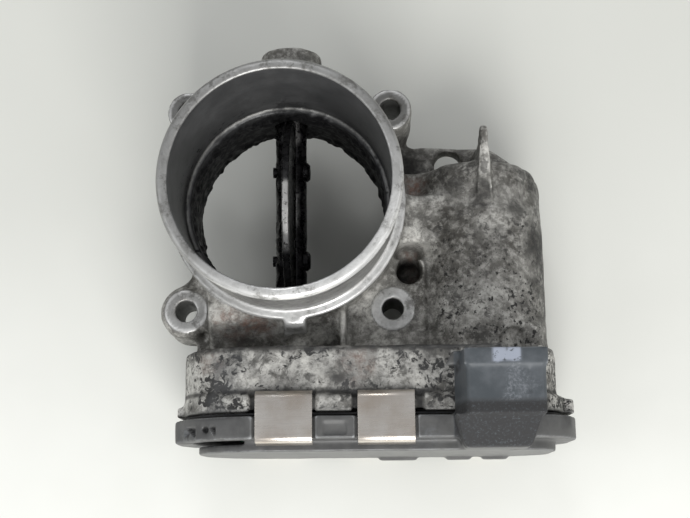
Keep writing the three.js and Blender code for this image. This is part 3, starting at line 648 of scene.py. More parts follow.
@dataclass(frozen=True)
class ClipSteel:
    """Brushed stainless strip with a faint brown film."""

    clean: Colour = (0.66, 0.63, 0.59)
    film: Colour = (0.50, 0.44, 0.38)
    streak: Colour = (0.33, 0.31, 0.3)

    def make(self) -> bpy.types.Material:
        """Builds the material."""
        mix = Recipe("clip_steel")
        brush = mix.noise(1.1, 5, 0.7, 0.0, mix.stretched(0.06, 1.5, 1.5))
        cloud = mix.noise(12, 5, 0.55)
        base = mix.blend(mix.step(cloud, 0.30, 0.72), self.clean, self.film)
        base = mix.blend(mix.both(mix.step(brush, 0.5, 0.7), 0.3), base, self.streak)
        rough = mix.level(mix.step(brush, 0.3, 0.7), 0.24, 0.34)
        return mix.finish(base, 0.95, rough, mix.relief(brush, 0.04, 0.4))


@dataclass(frozen=True)
class PlainFinish:
    """A clean finish of one colour with fine grain and faint clouding."""

    name: str
    colour: Colour
    metal: float
    rough: float
    cloud_size: float = 6.0
    grain_size: float = 0.6
    grain_depth: float = 0.05
    contrast: float = 0.3
    stretch: tuple[float, float, float] = (1.0, 1.0, 1.0)

    def make(self) -> bpy.types.Material:
        """Builds the material."""
        mix = Recipe(self.name)
        place = mix.stretched(*self.stretch)
        dim = tuple(channel * (1 - self.contrast) for channel in self.colour)
        cloud = mix.noise(self.cloud_size, 6, 0.6, 0.0, place)
        grain = mix.noise(self.grain_size, 4, 0.65, 0.0, place)
        base = mix.blend(mix.step(cloud, 0.36, 0.64), dim, self.colour)
        base = mix.blend(mix.both(mix.step(grain, 0.55, 0.7), self.contrast), base, dim)
        rough = mix.level(mix.step(cloud, 0.36, 0.64), min(self.rough + 0.12, 1.0), self.rough)
        return mix.finish(base, self.metal, rough, mix.relief(grain, self.grain_depth, 0.6))


class Slot(Enum):
    """The record's material slots."""

    CASTING = "cast_aluminium"
    PLATE = "sooted_plate"
    SHAFT = "shaft_steel"
    BEARING = "bearing_steel"
    SPRING = "spring_steel"
    CLIP = "clip_steel"
    BRASS = "brass"
    COPPER = "copper"
    FERRITE = "ferrite"
    CARBON = "carbon"
    COVER = "cover_plastic"
    GEAR = "gear_plastic"
    RUBBER = "seal_rubber"
    BOARD = "board_laminate"


FINISHES = {
    Slot.CASTING: CastFinish(),
    Slot.PLATE: SootedMetal("sooted_plate"),
    Slot.SHAFT: SootedMetal("shaft_steel", skin=(0.05, 0.048, 0.05)),
    Slot.BEARING: PlainFinish("bearing_steel", (0.56, 0.56, 0.55), 0.95, 0.3),
    Slot.SPRING: PlainFinish("spring_steel", (0.36, 0.35, 0.34), 0.9, 0.35),
    Slot.CLIP: ClipSteel(),
    Slot.BRASS: PlainFinish("brass", (0.66, 0.50, 0.24), 0.95, 0.3),
    Slot.COPPER: PlainFinish("copper", (0.62, 0.30, 0.16), 0.9, 0.35, grain_size=0.4, grain_depth=0.1),
    Slot.FERRITE: PlainFinish("ferrite", (0.05, 0.05, 0.055), 0.2, 0.6),
    Slot.CARBON: PlainFinish("carbon", (0.018, 0.018, 0.02), 0.0, 0.7),
    Slot.COVER: CoverPlastic(),
    Slot.GEAR: PlainFinish("gear_plastic", (0.62, 0.57, 0.45), 0.0, 0.45, contrast=0.12),
    Slot.RUBBER: PlainFinish("seal_rubber", (0.014, 0.014, 0.015), 0.0, 0.7),
    Slot.BOARD: PlainFinish("board_laminate", (0.02, 0.13, 0.06), 0.0, 0.35, contrast=0.2),
}


class Finishes:
    """Makes each finish once, when a piece first asks for it."""

    def __init__(self) -> None:
        """Starts with none made."""
        self.made: dict[Slot, bpy.types.Material] = {}

    def get(self, slot: Slot) -> bpy.types.Material:
        """Returns the slot's material, made on first use."""
        if slot not in self.made:
            self.made[slot] = FINISHES[slot].make()
        return self.made[slot]


# ---------------------------------------------------------------- housing


@dataclass
class Housing:
    """The cast housing: soft cast skin, turned spigot and bore, machined seats, soot and stains, painted
    shade in crooks and hollows, and painted highlights on the turned rim.
    """

    datum: Datum
    finishes: Finishes
    voxel: float = 0.62
    bore_radius: float = 30.0
    mouth_radius: float = 31.65
    step_height: float = 27.0
    rim_height: float = 63.0
    wall_radius: float = 33.3
    ring_radius: float = 36.0
    ring_height: float = 32.6
    bead_centre: float = 33.2
    bead_height: float = 61.2
    bead_round: float = 1.8
    band_low: float = 39.0
    band_high: float = 52.0
    band_rise: float = 0.4
    shaft_height: float = 11.5
    shaft_hole: float = 5.9
    fin_middle: float = 60.4
    recess_x: float = 68.8
    recess_y: float = -43.4
    boss_end: float = 53.7
    sealing_face: float = -63.4
    relief_sides: tuple[tuple[float, float], ...] = ((-10.2, -8.7), (7.9, 8.4), (19.3, 20.8), (37.6, 39.9))
    lug_pitch: float = 63.4
    lug_top: float = 22.4
    seat_radius: float = 6.5
    case_front: float = -44.5
    rust_spots: tuple[Patch, ...] = (
        Patch(38, 6, 10, 9, 0.8), Patch(40, -12, 8, 9, 0.9), Patch(43, -26, 10, 10, 0.7),
        Patch(-16, -36, 27, 8, 0.5), Patch(-9, -37, 28, 6, 0.6), Patch(20, -50, 38, 8, 0.5),
        Patch(-24, -48, 34, 7, 0.4), Patch(36, -20, 5, 8, 0.9),
    )
    # Dark spots: real grime, plus painted shade on the barrel's right side, in the latch recess and in the
    # valley beside the barrel.
    grime_and_shade_spots: tuple[Patch, ...] = (
        Patch(37, -20, 12, 7, 1.0), Patch(36, 16, 4, 8, 0.8), Patch(-12, -41, 23, 4.5, 0.6),
        Patch(34, 24, 4, 12, 0.6), Patch(-32, -22, 8, 7, 0.5), Patch(44, -46, 38, 6, 0.5),
        Patch(17, -55, 38, 3.0, 0.9), Patch(70, -3, 22, 5, 0.6), Patch(74, 8, 14, 6, 0.6),
        Patch(69, -40, 17, 6.5, 1.0), Patch(4, 42, 20, 11, 0.5), Patch(74, -24, 18, 7, 0.7),
        Patch(77, -12, 16, 10, 1.0), Patch(66, 20, 24, 8, 0.5),
        Patch(-8, 44, 18, 6, 0.5), Patch(30, 36, 18, 7, 0.4), Patch(60.4, 2, 28, 6, 0.8),
        Patch(60.4, 26, 26, 6, 0.7), Patch(43, -34, 16, 5, 0.6), Patch(43, -26, 14, 5, 0.6),
        Patch(62, -12, 27, 8, 0.35), Patch(50, 8, 22, 8, 0.4),
    )
    # Pale spots: real scuffs, plus painted light that brightens the shaded neck and the ground beside the
    # barrel, and a painted highlight over the latch recess.
    scuff_spots: tuple[Patch, ...] = (
        Patch(-8, -50, 38, 11, 0.8), Patch(-22, -50, 36, 8, 0.5), Patch(35, -50, 38, 6, 0.5),
        Patch(46, -51, 38, 8, 0.9), Patch(6, -49, 38, 9, 0.5), Patch(41, 3, 8, 5, 1.0),
        Patch(50, -30, 22, 8, 0.4), Patch(60, -30, 25, 10, 0.5), Patch(64, -6, 26, 7, 0.4),
        Patch(66, -40, 22, 8, 0.7), Patch(3, -41.5, 24, 5, 1.0), Patch(60.4, 14, 30, 5, 1.0),
        Patch(52, -50, 38, 6, 0.6), Patch(-14, -62, 40, 12, 0.8), Patch(14, -62, 40, 6, 0.9),
        Patch(-19, -34, 28, 7, 0.6), Patch(-25, -24, 26, 6, 0.6), Patch(9, -39, 22, 7, 1.0),
        Patch(37, -10, 23, 6, 1.0), Patch(42, -14, 21, 6, 0.8), Patch(24, -30, 22, 8, 0.9),
        Patch(-4, -38, 28, 5, 0.5), Patch(28, -38, 22, 11, 0.6), Patch(16.6, -38, 28, 5, 1.0),
        Patch(46, 3.5, 23, 5, 0.9), Patch(38, 2, 23, 4, 0.8),
    )

    def build(self) -> bpy.types.Object:
        """Builds and dresses the housing.

        Returns:
            The housing's object.
        """
        voxel = self.voxel * 1
        skin = Skin("throttle_housing", "housing_skin", voxel, self.datum)
        turned = self.turned_zone(skin.points)
        flat = self.flat_faces(skin.points)
        self.soften(skin, turned, flat)
        self.true_turned_faces(skin)
        self.roughen(skin, np.maximum(turned, self.flat_faces(skin.points)))
        self.paint(skin)
        return skin.finish(self.finishes.get(Slot.CASTING), "housing", Slot.CASTING.value)

    def turned_zone(self, points: np.ndarray) -> np.ndarray:
        """Returns 1 where the surface is turned about the bore: bore, mouth, rim, bead and shoulder."""
        radius = np.hypot(points[:, 0], points[:, 1])
        height = points[:, 2]
        inside = (radius < self.mouth_radius + 0.8) & (height > -0.6)
        spigot = (height > self.ring_height - 1.8) & (radius < self.ring_radius + 0.4)
        return (inside | spigot).astype(float)

    def flat_faces(self, points: np.ndarray) -> np.ndarray:
        """Returns 1 on the milled faces: bolt seats, flange and the case's sealing rim."""
        x, y, z = points.T
        half = self.lug_pitch / 2
        away = np.hypot(np.abs(x) - half, np.abs(y) - half)
        seats = (away < self.seat_radius + 0.2) & (z > self.lug_top - 0.7)
        holes = (away < 3.9) & (z < self.lug_top)
        flange = (z < 0.35) & (z > -0.5) & (np.hypot(x, y) < 46) & (x < 41)
        sealing = y < self.sealing_face
        return (seats | holes | flange | sealing).astype(float)

    def soften(self, skin: Skin, turned: np.ndarray, flat: np.ndarray) -> None:
        """Rounds the cast edges and corners, most where the barrel meets the web.

        Args:
            skin: the housing's skin.
            turned: share that is turned.
            flat: share that is milled.
        """
        x, y, z = skin.points.T
        kept = np.clip(turned + flat, 0, 1)
        case = ease(y, self.case_front + 2, self.case_front - 2)
        inside_case = (y < self.case_front - 2) & (z < 34.5) & (z > -13)
        fin = (np.abs(x - self.fin_middle) < 3) & (z > 24) & (y > -2)
        cast = np.clip(1 - kept, 0, 1) * np.where(fin, 0.3, 1.0)
        neck = (np.abs(x - 8) < 11) & (y < -22) & (z > 16)
        recess = np.hypot(x - self.recess_x, y - self.recess_y) < 8
        crisp = np.where(fin | recess, 0.0, np.where(neck, 0.25, 1.0))
        skin.smooth(8, cast * np.where(inside_case | recess, 0.4, 1.0) * np.where(neck, 0.5, 1.0))
        skin.smooth(22, cast * (1 - case) * crisp)
        valley = ease(x, 30, 38) * (1 - case) * (z < 19) * (z > 1.0)
        skin.smooth(60, cast * valley)

    def true_turned_faces(self, skin: Skin) -> None:
        """Puts the bore, the rim, the bead and the shoulder exactly on their turned outline."""
        turn = np.radians(np.linspace(-55, 90, 12))
        bead = np.stack([self.bead_centre + self.bead_round * np.cos(turn),
                         self.bead_height + self.bead_round * np.sin(turn)], axis=1)
        wall, ring, band = self.wall_radius, self.ring_radius, self.wall_radius + self.band_rise
        outside = np.array([
            [ring - 0.2, 30.2], [ring, 30.6], [ring, self.ring_height], [wall, self.ring_height + 0.3],
            [wall, self.band_low - 0.6], [band, self.band_low], [band, self.band_high],
            [wall, self.band_high + 1], [wall, 58],
        ])
        inside = np.array([
            [self.mouth_radius + 0.3, self.rim_height], [self.mouth_radius, self.rim_height - 0.4],
            [self.mouth_radius, self.step_height], [self.bore_radius, self.step_height - 0.8],
            [self.bore_radius, 0],
        ])
        profile = np.concatenate([outside, bead, inside])
        height = skin.points[:, 2]
        radius = np.hypot(skin.points[:, 0], skin.points[:, 1])
        from_shaft = np.hypot(skin.points[:, 0], height - self.shaft_height)
        shaft_hole = (from_shaft < self.shaft_hole) & (radius < 33)
        allowed = (radius < self.mouth_radius + 1.0) & (height > -0.4)
        allowed = allowed | (height > self.ring_height - 1.8)
        skin.snap(profile, 0.45, allowed & ~shaft_hole)

    def roughen(self, skin: Skin, smooth_share: np.ndarray) -> None:
        """Gives the cast surfaces their uneven skin and the bore its soot lumps.

        Args:
            skin: the housing's skin.
            smooth_share: share of the surface that is machined.
        """
        points = skin.points
        y, z = points[:, 1], points[:, 2]
        cast = 1 - np.clip(smooth_share, 0, 1)
        shown = ~((y < self.case_front - 2.6) & (z < 35.2) & (z > -13.2))
        wave = 0.16 * lumps(points, 9, 3, 3) + 0.09 * lumps(points, 2.6, 8, 2) - 0.10
        soot = self.crust_share(points)
        bumps = np.clip(lumps(points, 2.4, 21, 3) + 0.3, 0, 1.3)
        near_seat = 1 - 0.75 * ease(np.abs(z - self.shaft_height), 7, 4)
        gaps = self.clip_gaps(points)
        skin.push(cast * shown * wave * (1 - gaps) + soot * bumps * 0.75 * near_seat - 0.9 * gaps)

    def seat_rings(self, points: np.ndarray) -> np.ndarray:
        """Returns how bright each bolt seat is: rubbed most on the scored circle at its edge, with a painted
        reflection on the front seats, strongest on the right one.
        """
        half = self.lug_pitch / 2
        away = np.hypot(np.abs(points[:, 0]) - half, np.abs(points[:, 1]) - half)
        ring = 0.9 * ease(np.abs(away - self.seat_radius + 0.5), 0.7, 0.2)
        # Painted reflection: the front seats are painted brighter, the right one most.
        painted_reflection = (0.35 + 0.45 * (points[:, 0] > 0)) * (points[:, 1] < 0) * (away < self.seat_radius)
        return np.maximum(ring, painted_reflection) * (points[:, 2] > self.lug_top - 0.9)

    def clip_gaps(self, points: np.ndarray) -> np.ndarray:
        """Returns 1 in the narrow reliefs that the sealing rim has beside the clips."""
        x, y, z = points.T
        across = sum(ease(x, low - 0.4, low + 0.1) * ease(x, high + 0.4, high - 0.1)
                     for low, high in self.relief_sides)
        return np.clip(across, 0, 1) * (z > 37.2) * ease(y, -57.6, -58.4)

    def crust_share(self, points: np.ndarray) -> np.ndarray:
        """Returns where thick black soot sits: the lower bore, heaviest near the shaft and the step."""
        x, y, z = points.T
        radius = np.hypot(x, y)
        inside = (radius < self.mouth_radius + 0.6) & (z > -0.4)
        ragged = lumps(points, 5, 40, 3)
        lower = ease(z + 2.5 * ragged, self.step_height + 0.5, self.step_height - 3)
        around = np.arctan2(y, x)
        heavy = 0.85 + 0.28 * np.cos(2 * (around - math.pi / 2)) + 0.3 * ragged
        drip = ease(np.abs(x), 9, 3) * ease(y, 12, 20) * ease(z + 3 * ragged, 40, 28)
        return inside * np.clip(lower * ease(heavy, 0.15, 0.6) + 0.8 * drip * (ragged > 0), 0, 1)

    def paint(self, skin: Skin) -> None:
        """Stores the shares that the casting's finish reads.

        Args:
            skin: the housing's skin.
        """
        points = skin.points
        x, y, z = points.T
        radius = np.hypot(x, y)
        crust = self.crust_share(points)
        turned = self.turned_zone(points)
        below_rim = ease(z, self.rim_height - 0.1, self.rim_height - 0.9)
        inside = turned * (radius < self.mouth_radius + 0.25) * below_rim
        ragged = lumps(points, 3.2, 60, 3)
        step_edge = ease(np.abs(z - self.step_height + 0.5), 0.9, 0.35) * (radius < self.mouth_radius + 0.2)
        step_edge = step_edge * ease(ragged, -0.9, -0.3) * ease(radius, 30.5, 31.0)
        over_ring = ease(z, self.ring_height + 0.5, self.ring_height + 1.1)
        groove = ease(z, 59.2, 58.4) * over_ring * (radius > 32.6)
        machined = np.clip(np.maximum(turned, self.flat_faces(points)) - 0.45 * groove, 0, 1)
        boss_end = (y > self.boss_end) * 0.9
        pad = ease(y, -40.6, -39.4) * (z > 24) * (y < -34) * ease(np.abs(x - 2.25), 3.5, 3.1)
        # Painted highlight: the turned rim is painted brighter towards the lower right, the side the light
        # falls on.
        painted_highlight_side = 0.25 + 0.75 * ease(np.cos(np.arctan2(y, x) + math.radians(58)), 0.1, 0.85)
        bright_ring = turned * ease(z, 26, 30) * painted_highlight_side * (1 - 0.6 * groove)
        skin.mask("polish_and_highlight", np.maximum.reduce([bright_ring, pad, self.seat_rings(points)]))
        skin.mask("machined", np.maximum.reduce([machined, boss_end, pad * ease(ragged, -0.9, -0.2)]))
        # Film on the spigot's outer wall, with painted shade growing under the bead and in the crook just
        # above the ring.
        shade_under_bead = groove * (0.3 + 0.5 * ease(z, 48, 57) + 0.4 * ease(np.abs(z - 36), 2.2, 1.2))
        skin.mask("film", inside * (1 - step_edge) * 0.93 + shade_under_bead * ease(ragged, -1.4, 0.4))
        skin.mask("crust", crust * (1 - 0.92 * step_edge))
        climb = ease(z, self.step_height + 20, self.step_height)
        side = 0.35 + 0.65 * ease(-x, 5, 28) + 0.5 * ease(x, 18, 30) * ease(y, -8, 10)
        skin.mask("specks", inside * climb * side)
        self.weather(skin, machined, ragged)

    def weather(self, skin: Skin, machined: np.ndarray, ragged: np.ndarray) -> None:
        """Stores where the cast surface is rusty, grimy, chalky, mottled and pitted, and where shade and
        light are painted into it.

        Args:
            skin: the housing's skin.
            machined: share that is turned or milled.
            ragged: random field that roughens the edges of the stains.
        """
        points = skin.points
        x, y, z = points.T
        skin.mask("rust", patches(points, self.rust_spots, 71))
        grime_and_shade = patches(points, self.grime_and_shade_spots, 81) * (1 - machined)
        # Painted shadow: a dark line in the crook where the sealing rim steps out from the case band.
        crook_shadow = ease(np.abs(y + 58.0 + 0.4 * ragged), 1.1, 0.4) * (z > 20) * ease(ragged, -1.3, -0.4)
        # Painted shadow: a dark line along the case band's top edge.
        shelf_shadow = ease(np.abs(y - self.case_front + 0.5 + 0.5 * ragged), 1.7, 0.6)
        shelf_shadow = shelf_shadow * (z > 24) * ease(ragged, -1.6, -0.6)
        # The reliefs beside the clips are painted dark as shade.
        skin.mask("grime_and_shade", np.clip(grime_and_shade + self.clip_gaps(points) + 0.9 * crook_shadow + 0.8 * shelf_shadow, 0, 1))
        case = ease(y, self.case_front + 1.5, self.case_front - 1)
        barrel = ease(x, 42, 48) * (y < 20)
        chalky = case * ease(lumps(points, 7, 93, 3), -0.5, 0.5)
        # Real scuffs and chalky case, plus painted light in the shaded neck and valley.
        scuff = patches(points, self.scuff_spots, 91)
        skin.mask("scuff", np.clip(scuff + 0.35 * case + 0.6 * chalky, 0, 1))
        broad = ease(lumps(points, 13, 95, 2), -1.1, 0.3)
        skin.mask("mottle", np.clip(0.3 + 0.7 * np.maximum(case, barrel * 0.5) * broad, 0, 1))
        lower = ease(y + 5 * ragged, 6, -12)
        skin.mask("pitted", np.clip(barrel * lower * ease(lumps(points, 16, 97, 2), -0.9, 0.1) + 0.15, 0, 1))


# ---------------------------------------------------------------- throttle


@dataclass
class Throttle:
    """The turning shaft and plate under soot, with their two screws."""

    datum: Datum
    finishes: Finishes
    voxel: float = 0.36
    shaft_height: float = 11.5
    shaft_radius: float = 4.9
    plate_radius: float = 29.7

    def build(self) -> list[bpy.types.Object]:
        """Builds the shaft, the plate and the screws.

        Returns:
            The new pieces.
        """
        for node in ("plate_screw_1", "plate_screw_2"):
            dress(node, self.finishes.get(Slot.SHAFT), 0.3)
        return [self.shaft(), self.plate()]

    def soot(self, points: np.ndarray, seed: int) -> np.ndarray:
        """Returns how thick the soot lies, 0 to about 1, inside the bore only."""
        in_bore = ease(np.abs(points[:, 1]), 29.0, 27.5)
        return in_bore * np.clip(0.25 + lumps(points, 3.2, seed, 3), 0, 1.3)

    def shaft(self) -> bpy.types.Object:
        """Builds the shaft.

        Returns:
            The shaft's object.
        """
        skin = Skin("throttle_shaft", "shaft_skin", self.voxel, self.datum)
        skin.smooth(3)
        x, _, z = skin.points.T
        crust = self.soot(skin.points, 11) * (0.45 + 0.55 * (x < 0.6)) * (1 - 0.6 * (z < 8))
        near_plate = np.abs(x) < 1.5
        skin.push(np.where(near_plate, 0.0, 0.55 * crust))
        skin.mask("crust", crust * 1.5)
        rubbed = ease(z, 15.2, 16.1) * ease(x, 0.6, 1.6) * ease(lumps(skin.points, 14, 5), 0.0, 0.5)
        skin.mask("bare", 0.6 * rubbed)
        return skin.finish(self.finishes.get(Slot.SHAFT), "throttle_rotor", Slot.SHAFT.value)

    def plate(self) -> bpy.types.Object:
        """Builds the plate, whose upper edge is rubbed bare along a stretch.

        Returns:
            The plate's object.
        """
        skin = Skin("throttle_plate", "plate_skin", self.voxel, self.datum)
        skin.smooth(3)
        x, y, z = skin.points.T
        from_axis = np.hypot(y, z - self.shaft_height)
        rim = ease(from_axis, self.plate_radius - 3, self.plate_radius - 1)
        in_slot = np.abs(z - self.shaft_height) < self.shaft_radius + 0.8
        crust = self.soot(skin.points, 17)
        skin.push(np.where(in_slot, 0.0, 0.55 * crust * (1 - rim)))
        skin.mask("crust", crust)
        skin.mask("bare", rim * ease(y, -17, -14) * ease(y, 5.5, 3) * (z > self.shaft_height))
        return skin.finish(self.finishes.get(Slot.PLATE), "throttle_rotor", Slot.PLATE.value)


# ---------------------------------------------------------------- cover and clips


@dataclass
class Cover:
    """The plastic cover with its connector shell."""

    datum: Datum
    finishes: Finishes
    voxel: float = 0.5
    shell_left: float = 50.6
    shell_right: float = 74.4
    seat_height: float = 40.6
    mouth: float = -47.9
    paint_left: float = 58.8
    paint_right: float = 66.4
    front_face: float = -75.0
    scuff_spots: tuple[Patch, ...] = (
        Patch(66, -57, 56, 6, 0.9), Patch(64, -62, 56, 5, 0.8), Patch(55, -68, 50, 5, 0.5),
        Patch(60, -66, 54, 5, 0.5), Patch(-33, -72, 30, 6, 0.6), Patch(40, -74, 40, 8, 0.4),
    )
    soil_and_shade_spots: tuple[Patch, ...] = (
        Patch(75, -52, 48, 6, 1.0), Patch(74, -60, 44, 6, 0.9), Patch(80, -66, 30, 6, 0.5),
        Patch(49.5, -52, 46, 4, 0.9), Patch(-32, -70, 24, 8, 0.4),
    )

    def build(self) -> bpy.types.Object:
        """Builds and dresses the cover.

        Returns:
            The cover's object.
        """
        voxel = self.voxel * 1
        skin = Skin("gear_cover", "cover_skin", voxel, self.datum)
        skin.smooth(3)
        points = skin.points
        skin.push(0.05 * lumps(points, 6, 4, 3) - 0.04 - 1.3 * self.pockets(points))
        self.paint(skin)
        return skin.finish(self.finishes.get(Slot.COVER), "housing", Slot.COVER.value)

    def pockets(self, points: np.ndarray) -> np.ndarray:
        """Returns 1 in the triangular pockets at the cover's left shoulder."""
        x, y, z = points.T
        total = np.zeros(len(points))
        for right, back, width, depth in ((-26.8, -68.2, 2.9, 2.4), (-20.4, -68.0, 1.6, 2.2)):
            slant = (y - (back - depth)) / depth - (right - x) / width
            inside = ease(slant, -0.1, 0.1) * ease(x, right + 0.25, right - 0.25)
            total += inside * ease(y, back + 0.25, back - 0.25)
        return np.clip(total, 0, 1) * (z > 24)

    def paint(self, skin: Skin) -> None:
        """Stores the shares that the plastic's finish reads.

        Args:
            skin: the cover's skin.
        """
        points = skin.points
        x, y, z = points.T
        shell = ease(z, self.seat_height - 0.8, self.seat_height + 0.6)
        shell = shell * ease(x, self.shell_left - 2.4, self.shell_left - 1.8)
        skin.mask("connector", shell)
        skin.mask("front", ease(y, self.front_face + 0.3, self.front_face))
        ragged = lumps(points, 2.4, 33, 3)
        across = ease(x, self.paint_left - 0.4, self.paint_left + 0.3)
        across = across * ease(x, self.paint_right + 0.4, self.paint_right - 0.3)
        collar = ease(y + 0.3 * ragged, self.mouth - 4.2, self.mouth - 3.7)
        gap = 1 - 0.75 * ease(np.abs(x - 62.6), 0.5, 0.1) * ease(ragged, -0.1, 0.3)
        skin.mask("paint", across * collar * gap * (z > 55.2))
        skin.mask("scuff", patches(points, self.scuff_spots, 44))
        hood = shell * ease(y, -61.5, -63.5)
        # The pockets are painted dark as shade; soil spots and the connector's front are darkened too.
        soil_and_shade = patches(points, self.soil_and_shade_spots, 52)
        skin.mask("soil_and_shade", np.maximum.reduce([soil_and_shade, self.pockets(points), hood]))


def round_edges(target: bpy.types.Object, name: str, width: float, angle: float) -> None:
    """Rounds an object's edges.

    Args:
        target: the object.
        name: the modifier's name.
        width: width of the rounded edges, in millimetres.
        angle: least angle between the faces at such an edge, in degrees.
    """
    edge = target.modifiers.new(name, "BEVEL")
    edge.width = width * MM
    edge.segments = 2
    edge.limit_method = "ANGLE"
    edge.angle_limit = math.radians(angle)


def dress(node: str, material: bpy.types.Material, bevel: float) -> None:
    """Gives a CAD node its finish and eased edges.

    Args:
        node: the CAD node.
        material: the finish.
        bevel: width of the eased edges, in millimetres; 0 for none.
    """
    target = frame["nodes"][node]
    if not target.material_slots:
        target.data.materials.append(material)
    for held in target.material_slots:
        held.material = material
    if bevel > 0:
        round_edges(target, "eased", bevel, 32)


@dataclass
class Clips:
    """The five spring clips, each one strip bent over the two rims, and the gasket line."""

    datum: Datum
    finishes: Finishes
    thickness: float = 0.8
    rear_bend: float = 2.3
    nose_bend: float = 1.7
    edge_round: float = 0.14
    bend_steps: int = 8
    names: tuple[str, ...] = (
        "top_clip_1", "top_clip_2", "bottom_clip_1", "bottom_clip_2", "bottom_clip_3",
    )

    def build(self) -> list[bpy.types.Object]:
        """Bends the clips and dresses them and the gasket.

        Returns:
            The clips.
        """
        dress("cover_gasket", self.finishes.get(Slot.RUBBER), 0.0)
        return [self.strip(name) for name in self.names]

    def middle_line(self, low: Vector, high: Vector, up: bool) -> list[tuple[float, float]]:
        """Centre line of the strip, seen from the side.

        Args:
            low: lowest corner of the clip's box, in millimetres about the bore.
            high: its highest corner.
            up: True for a clip on the top rim.

        Returns:
            The line's (y, z) points, from the rear leg to the nose's tip.
        """
        half = self.thickness / 2
        sign = 1 if up else -1
        outer, inner = (high.z, low.z) if up else (low.z, high.z)
        back, nose = high.y - half, low.y + half + 0.5
        flat = outer - sign * half
        line = [(back, inner + sign * 1.6)]
        for bend, centre_y, first, last in ((self.rear_bend, back - self.rear_bend, 0, 90),
                                            (self.nose_bend, nose + self.nose_bend, 90, 180)):
            for i in range(self.bend_steps + 1):
                turn = math.radians(first + (last - first) * i / self.bend_steps)
                line.append((centre_y + bend * math.cos(turn), flat - sign * bend * (1 - math.sin(turn))))
        line.append((nose, inner + sign * 1.5))
        line.append((nose - 0.5, inner + sign * 0.2))
        return line

    def strip(self, name: str) -> bpy.types.Object:
        """Makes one clip.

        Args:
            name: the clip's CAD node.

        Returns:
            The clip's object.
        """
        low, high = ((corner - self.datum.origin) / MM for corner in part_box(name))
        line = self.middle_line(low, high, "top" in name)
        form = bmesh.new()
        rows = [[form.verts.new(self.datum.place(x, y, z)) for x in (low.x, high.x)] for y, z in line]
        for first, second in zip(rows[:-1], rows[1:]):
            form.faces.new((first[0], first[1], second[1], second[0])).smooth = True
        mesh = bpy.data.meshes.new(name + "_strip")
        bmesh.ops.recalc_face_normals(form, faces=form.faces)
        form.to_mesh(mesh)
        form.free()
        strip = bpy.data.objects.new(name + "_strip", mesh)
        bpy.context.scene.collection.objects.link(strip)
        sheet = strip.modifiers.new("sheet", "SOLIDIFY")
        sheet.thickness = self.thickness * MM
        sheet.offset = 0.0
        round_edges(strip, "deburred", self.edge_round, 50)
        mesh.materials.append(self.finishes.get(Slot.CLIP))
        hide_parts(name)
        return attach(strip, "housing")


@dataclass
class Drive:
    """The gears, bearings, sensor and motor inside the housing."""

    finishes: Finishes
    bevels: dict[Slot, float] = field(default_factory=lambda: {
        Slot.GEAR: 0.12, Slot.BEARING: 0.15, Slot.BRASS: 0.1, Slot.COPPER: 0.1,
        Slot.FERRITE: 0.15, Slot.CARBON: 0.15, Slot.BOARD: 0.1,
    })

    def build(self, done: set[str]) -> int:
        """Dresses every node that no other class has.

        Args:
            done: nodes that are already dressed or replaced.

        Returns:
            How many nodes were dressed.
        """
        slots = {part["node"]: Slot(part["material_slot"]) for part in frame["record"]["subparts"]}
        rest = [node for node in frame["nodes"] if node not in done]
        for node in rest:
            slot = slots[node]
            dress(node, self.finishes.get(slot), self.bevels.get(slot, 0.0))
        return len(rest)


# ---------------------------------------------------------------- studio


@dataclass(frozen=True)
class Lamp:
    """A square area light aimed at the object, in metres and watts."""

    name: str
    place: tuple[float, float, float]
    size: float
    power: float
    colour: Colour

    def hang(self) -> None:
        """Adds the light to the scene."""
        light = bpy.data.lights.new(self.name, "AREA")
        light.size = self.size
        light.energy = self.power
        light.color = self.colour
        lamp = bpy.data.objects.new(self.name, light)
        lamp.location = self.place
        lamp.rotation_euler = (-Vector(self.place)).to_track_quat("-Z", "Y").to_euler()
        bpy.context.scene.collection.objects.link(lamp)


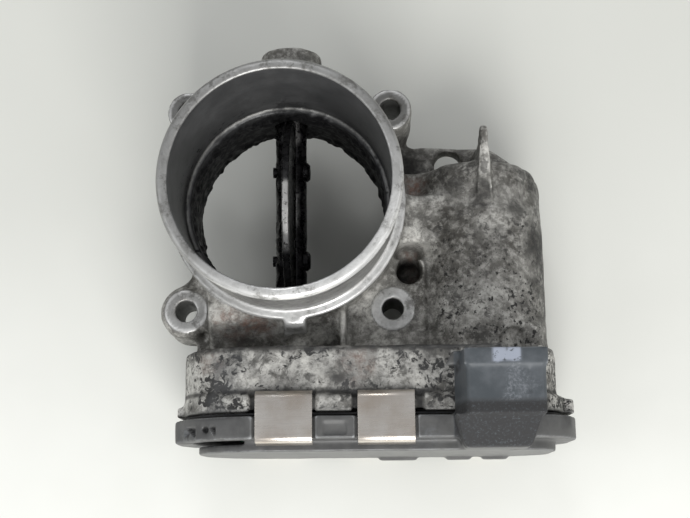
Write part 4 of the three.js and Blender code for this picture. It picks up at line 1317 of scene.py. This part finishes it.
@dataclass
class Studio:
    """Floor, soft light and camera."""

    lens: float = 67.83
    sensor: float = 36.0
    camera_at: tuple[float, float, float] = (0.00455, -0.08165, 0.4351)
    roll: float = 0.49
    tilt: float = -11.04
    turn: float = -1.5
    floor_colour: Colour = (0.61, 0.615, 0.575)
    floor_painted_light: Colour = (0.80, 0.805, 0.77)
    floor_half: float = 3.0
    floor_gap: float = 0.0002
    sky: Colour = (0.97, 0.98, 1.0)
    sky_strength: float = 0.5
    lamps: tuple[Lamp, ...] = (
        Lamp("front_window", (0.16, -0.82, 0.62), 0.6, 12.0, (1.0, 0.995, 0.98)),
        Lamp("right_window", (1.15, -0.2, 0.95), 0.8, 2.0, (1.0, 0.995, 0.98)),
        Lamp("back_wall", (-0.2, 1.2, 0.95), 0.35, 3.2, (0.97, 0.985, 1.0)),
        Lamp("left_wall", (-1.2, -0.3, 0.9), 0.8, 4.5, (0.97, 0.985, 1.0)),
    )

    def camera(self) -> None:
        """Places the camera above the hose end, leaning over the cover."""
        lens = bpy.data.cameras.new("camera")
        lens.lens = self.lens
        lens.sensor_width = self.sensor
        lens.clip_start = 0.01
        camera = bpy.data.objects.new("camera", lens)
        bpy.context.scene.collection.objects.link(camera)
        facing = (Matrix.Rotation(math.radians(self.roll), 4, "Z")
                  @ Matrix.Rotation(math.radians(self.tilt), 4, "X")
                  @ Matrix.Rotation(math.radians(self.turn), 4, "Y"))
        camera.matrix_world = Matrix.Translation(self.camera_at) @ facing.transposed()
        bpy.context.scene.camera = camera

    def floor(self) -> None:
        """Lays a large off-white table top under the object, with painted light that brightens it towards
        the front.
        """
        mesh = bpy.data.meshes.new("table_top")
        form = bmesh.new()
        bmesh.ops.create_grid(form, x_segments=2, y_segments=2, size=self.floor_half)
        form.to_mesh(mesh)
        form.free()
        top = bpy.data.objects.new("table_top", mesh)
        top.location.z = -self.floor_gap
        bpy.context.scene.collection.objects.link(top)
        mix = Recipe("table_top")
        cloud = mix.noise(120, 4, 0.5)
        apart = mix.node("ShaderNodeSeparateXYZ", vector=mix.place)
        # Painted light: the floor is lighter towards the front, where the light falls.
        near = mix.step(apart.outputs["Y"], 0.10, -0.16)
        colour = mix.blend(near, self.floor_colour, self.floor_painted_light)
        dim = tuple(channel * 0.965 for channel in self.floor_colour)
        colour = mix.blend(mix.both(mix.step(cloud, 0.3, 0.7), 0.5), colour, dim)
        mesh.materials.append(mix.finish(colour, 0.0, 0.5))

    def build(self) -> None:
        """Sets up the whole studio."""
        self.camera()
        self.floor()
        for lamp in self.lamps:
            lamp.hang()
        world = bpy.data.worlds.new("room")
        world.use_nodes = True
        background = world.node_tree.nodes["Background"]
        background.inputs["Color"].default_value = (*self.sky, 1.0)
        background.inputs["Strength"].default_value = self.sky_strength
        bpy.context.scene.world = world
        bpy.context.scene.view_settings.view_transform = "Standard"


# ---------------------------------------------------------------- assembly


def report(step: str, pieces: list[str]) -> None:
    """Logs the pieces that a step has built."""
    for name in pieces:
        LOG.info("%s: %s", step, name)


def main() -> None:
    """Builds the sub-assemblies in order."""
    logging.basicConfig(level=logging.INFO, format="%(name)s %(message)s")
    datum = Datum.from_frame()
    finishes = Finishes()
    Studio().build()
    housing = Housing(datum, finishes).build()
    report("housing", [housing.name])
    throttle = Throttle(datum, finishes).build()
    report("throttle", [piece.name for piece in throttle])
    cover = Cover(datum, finishes).build()
    report("cover", [cover.name])
    clips = Clips(datum, finishes)
    report("clips", [piece.name for piece in clips.build()])
    done = {"throttle_housing", "throttle_shaft", "throttle_plate", "plate_screw_1", "plate_screw_2",
            "gear_cover", "cover_gasket", *clips.names}
    LOG.info("drive: %d nodes dressed", Drive(finishes).build(done))


if __name__ == "__main__":
    main()
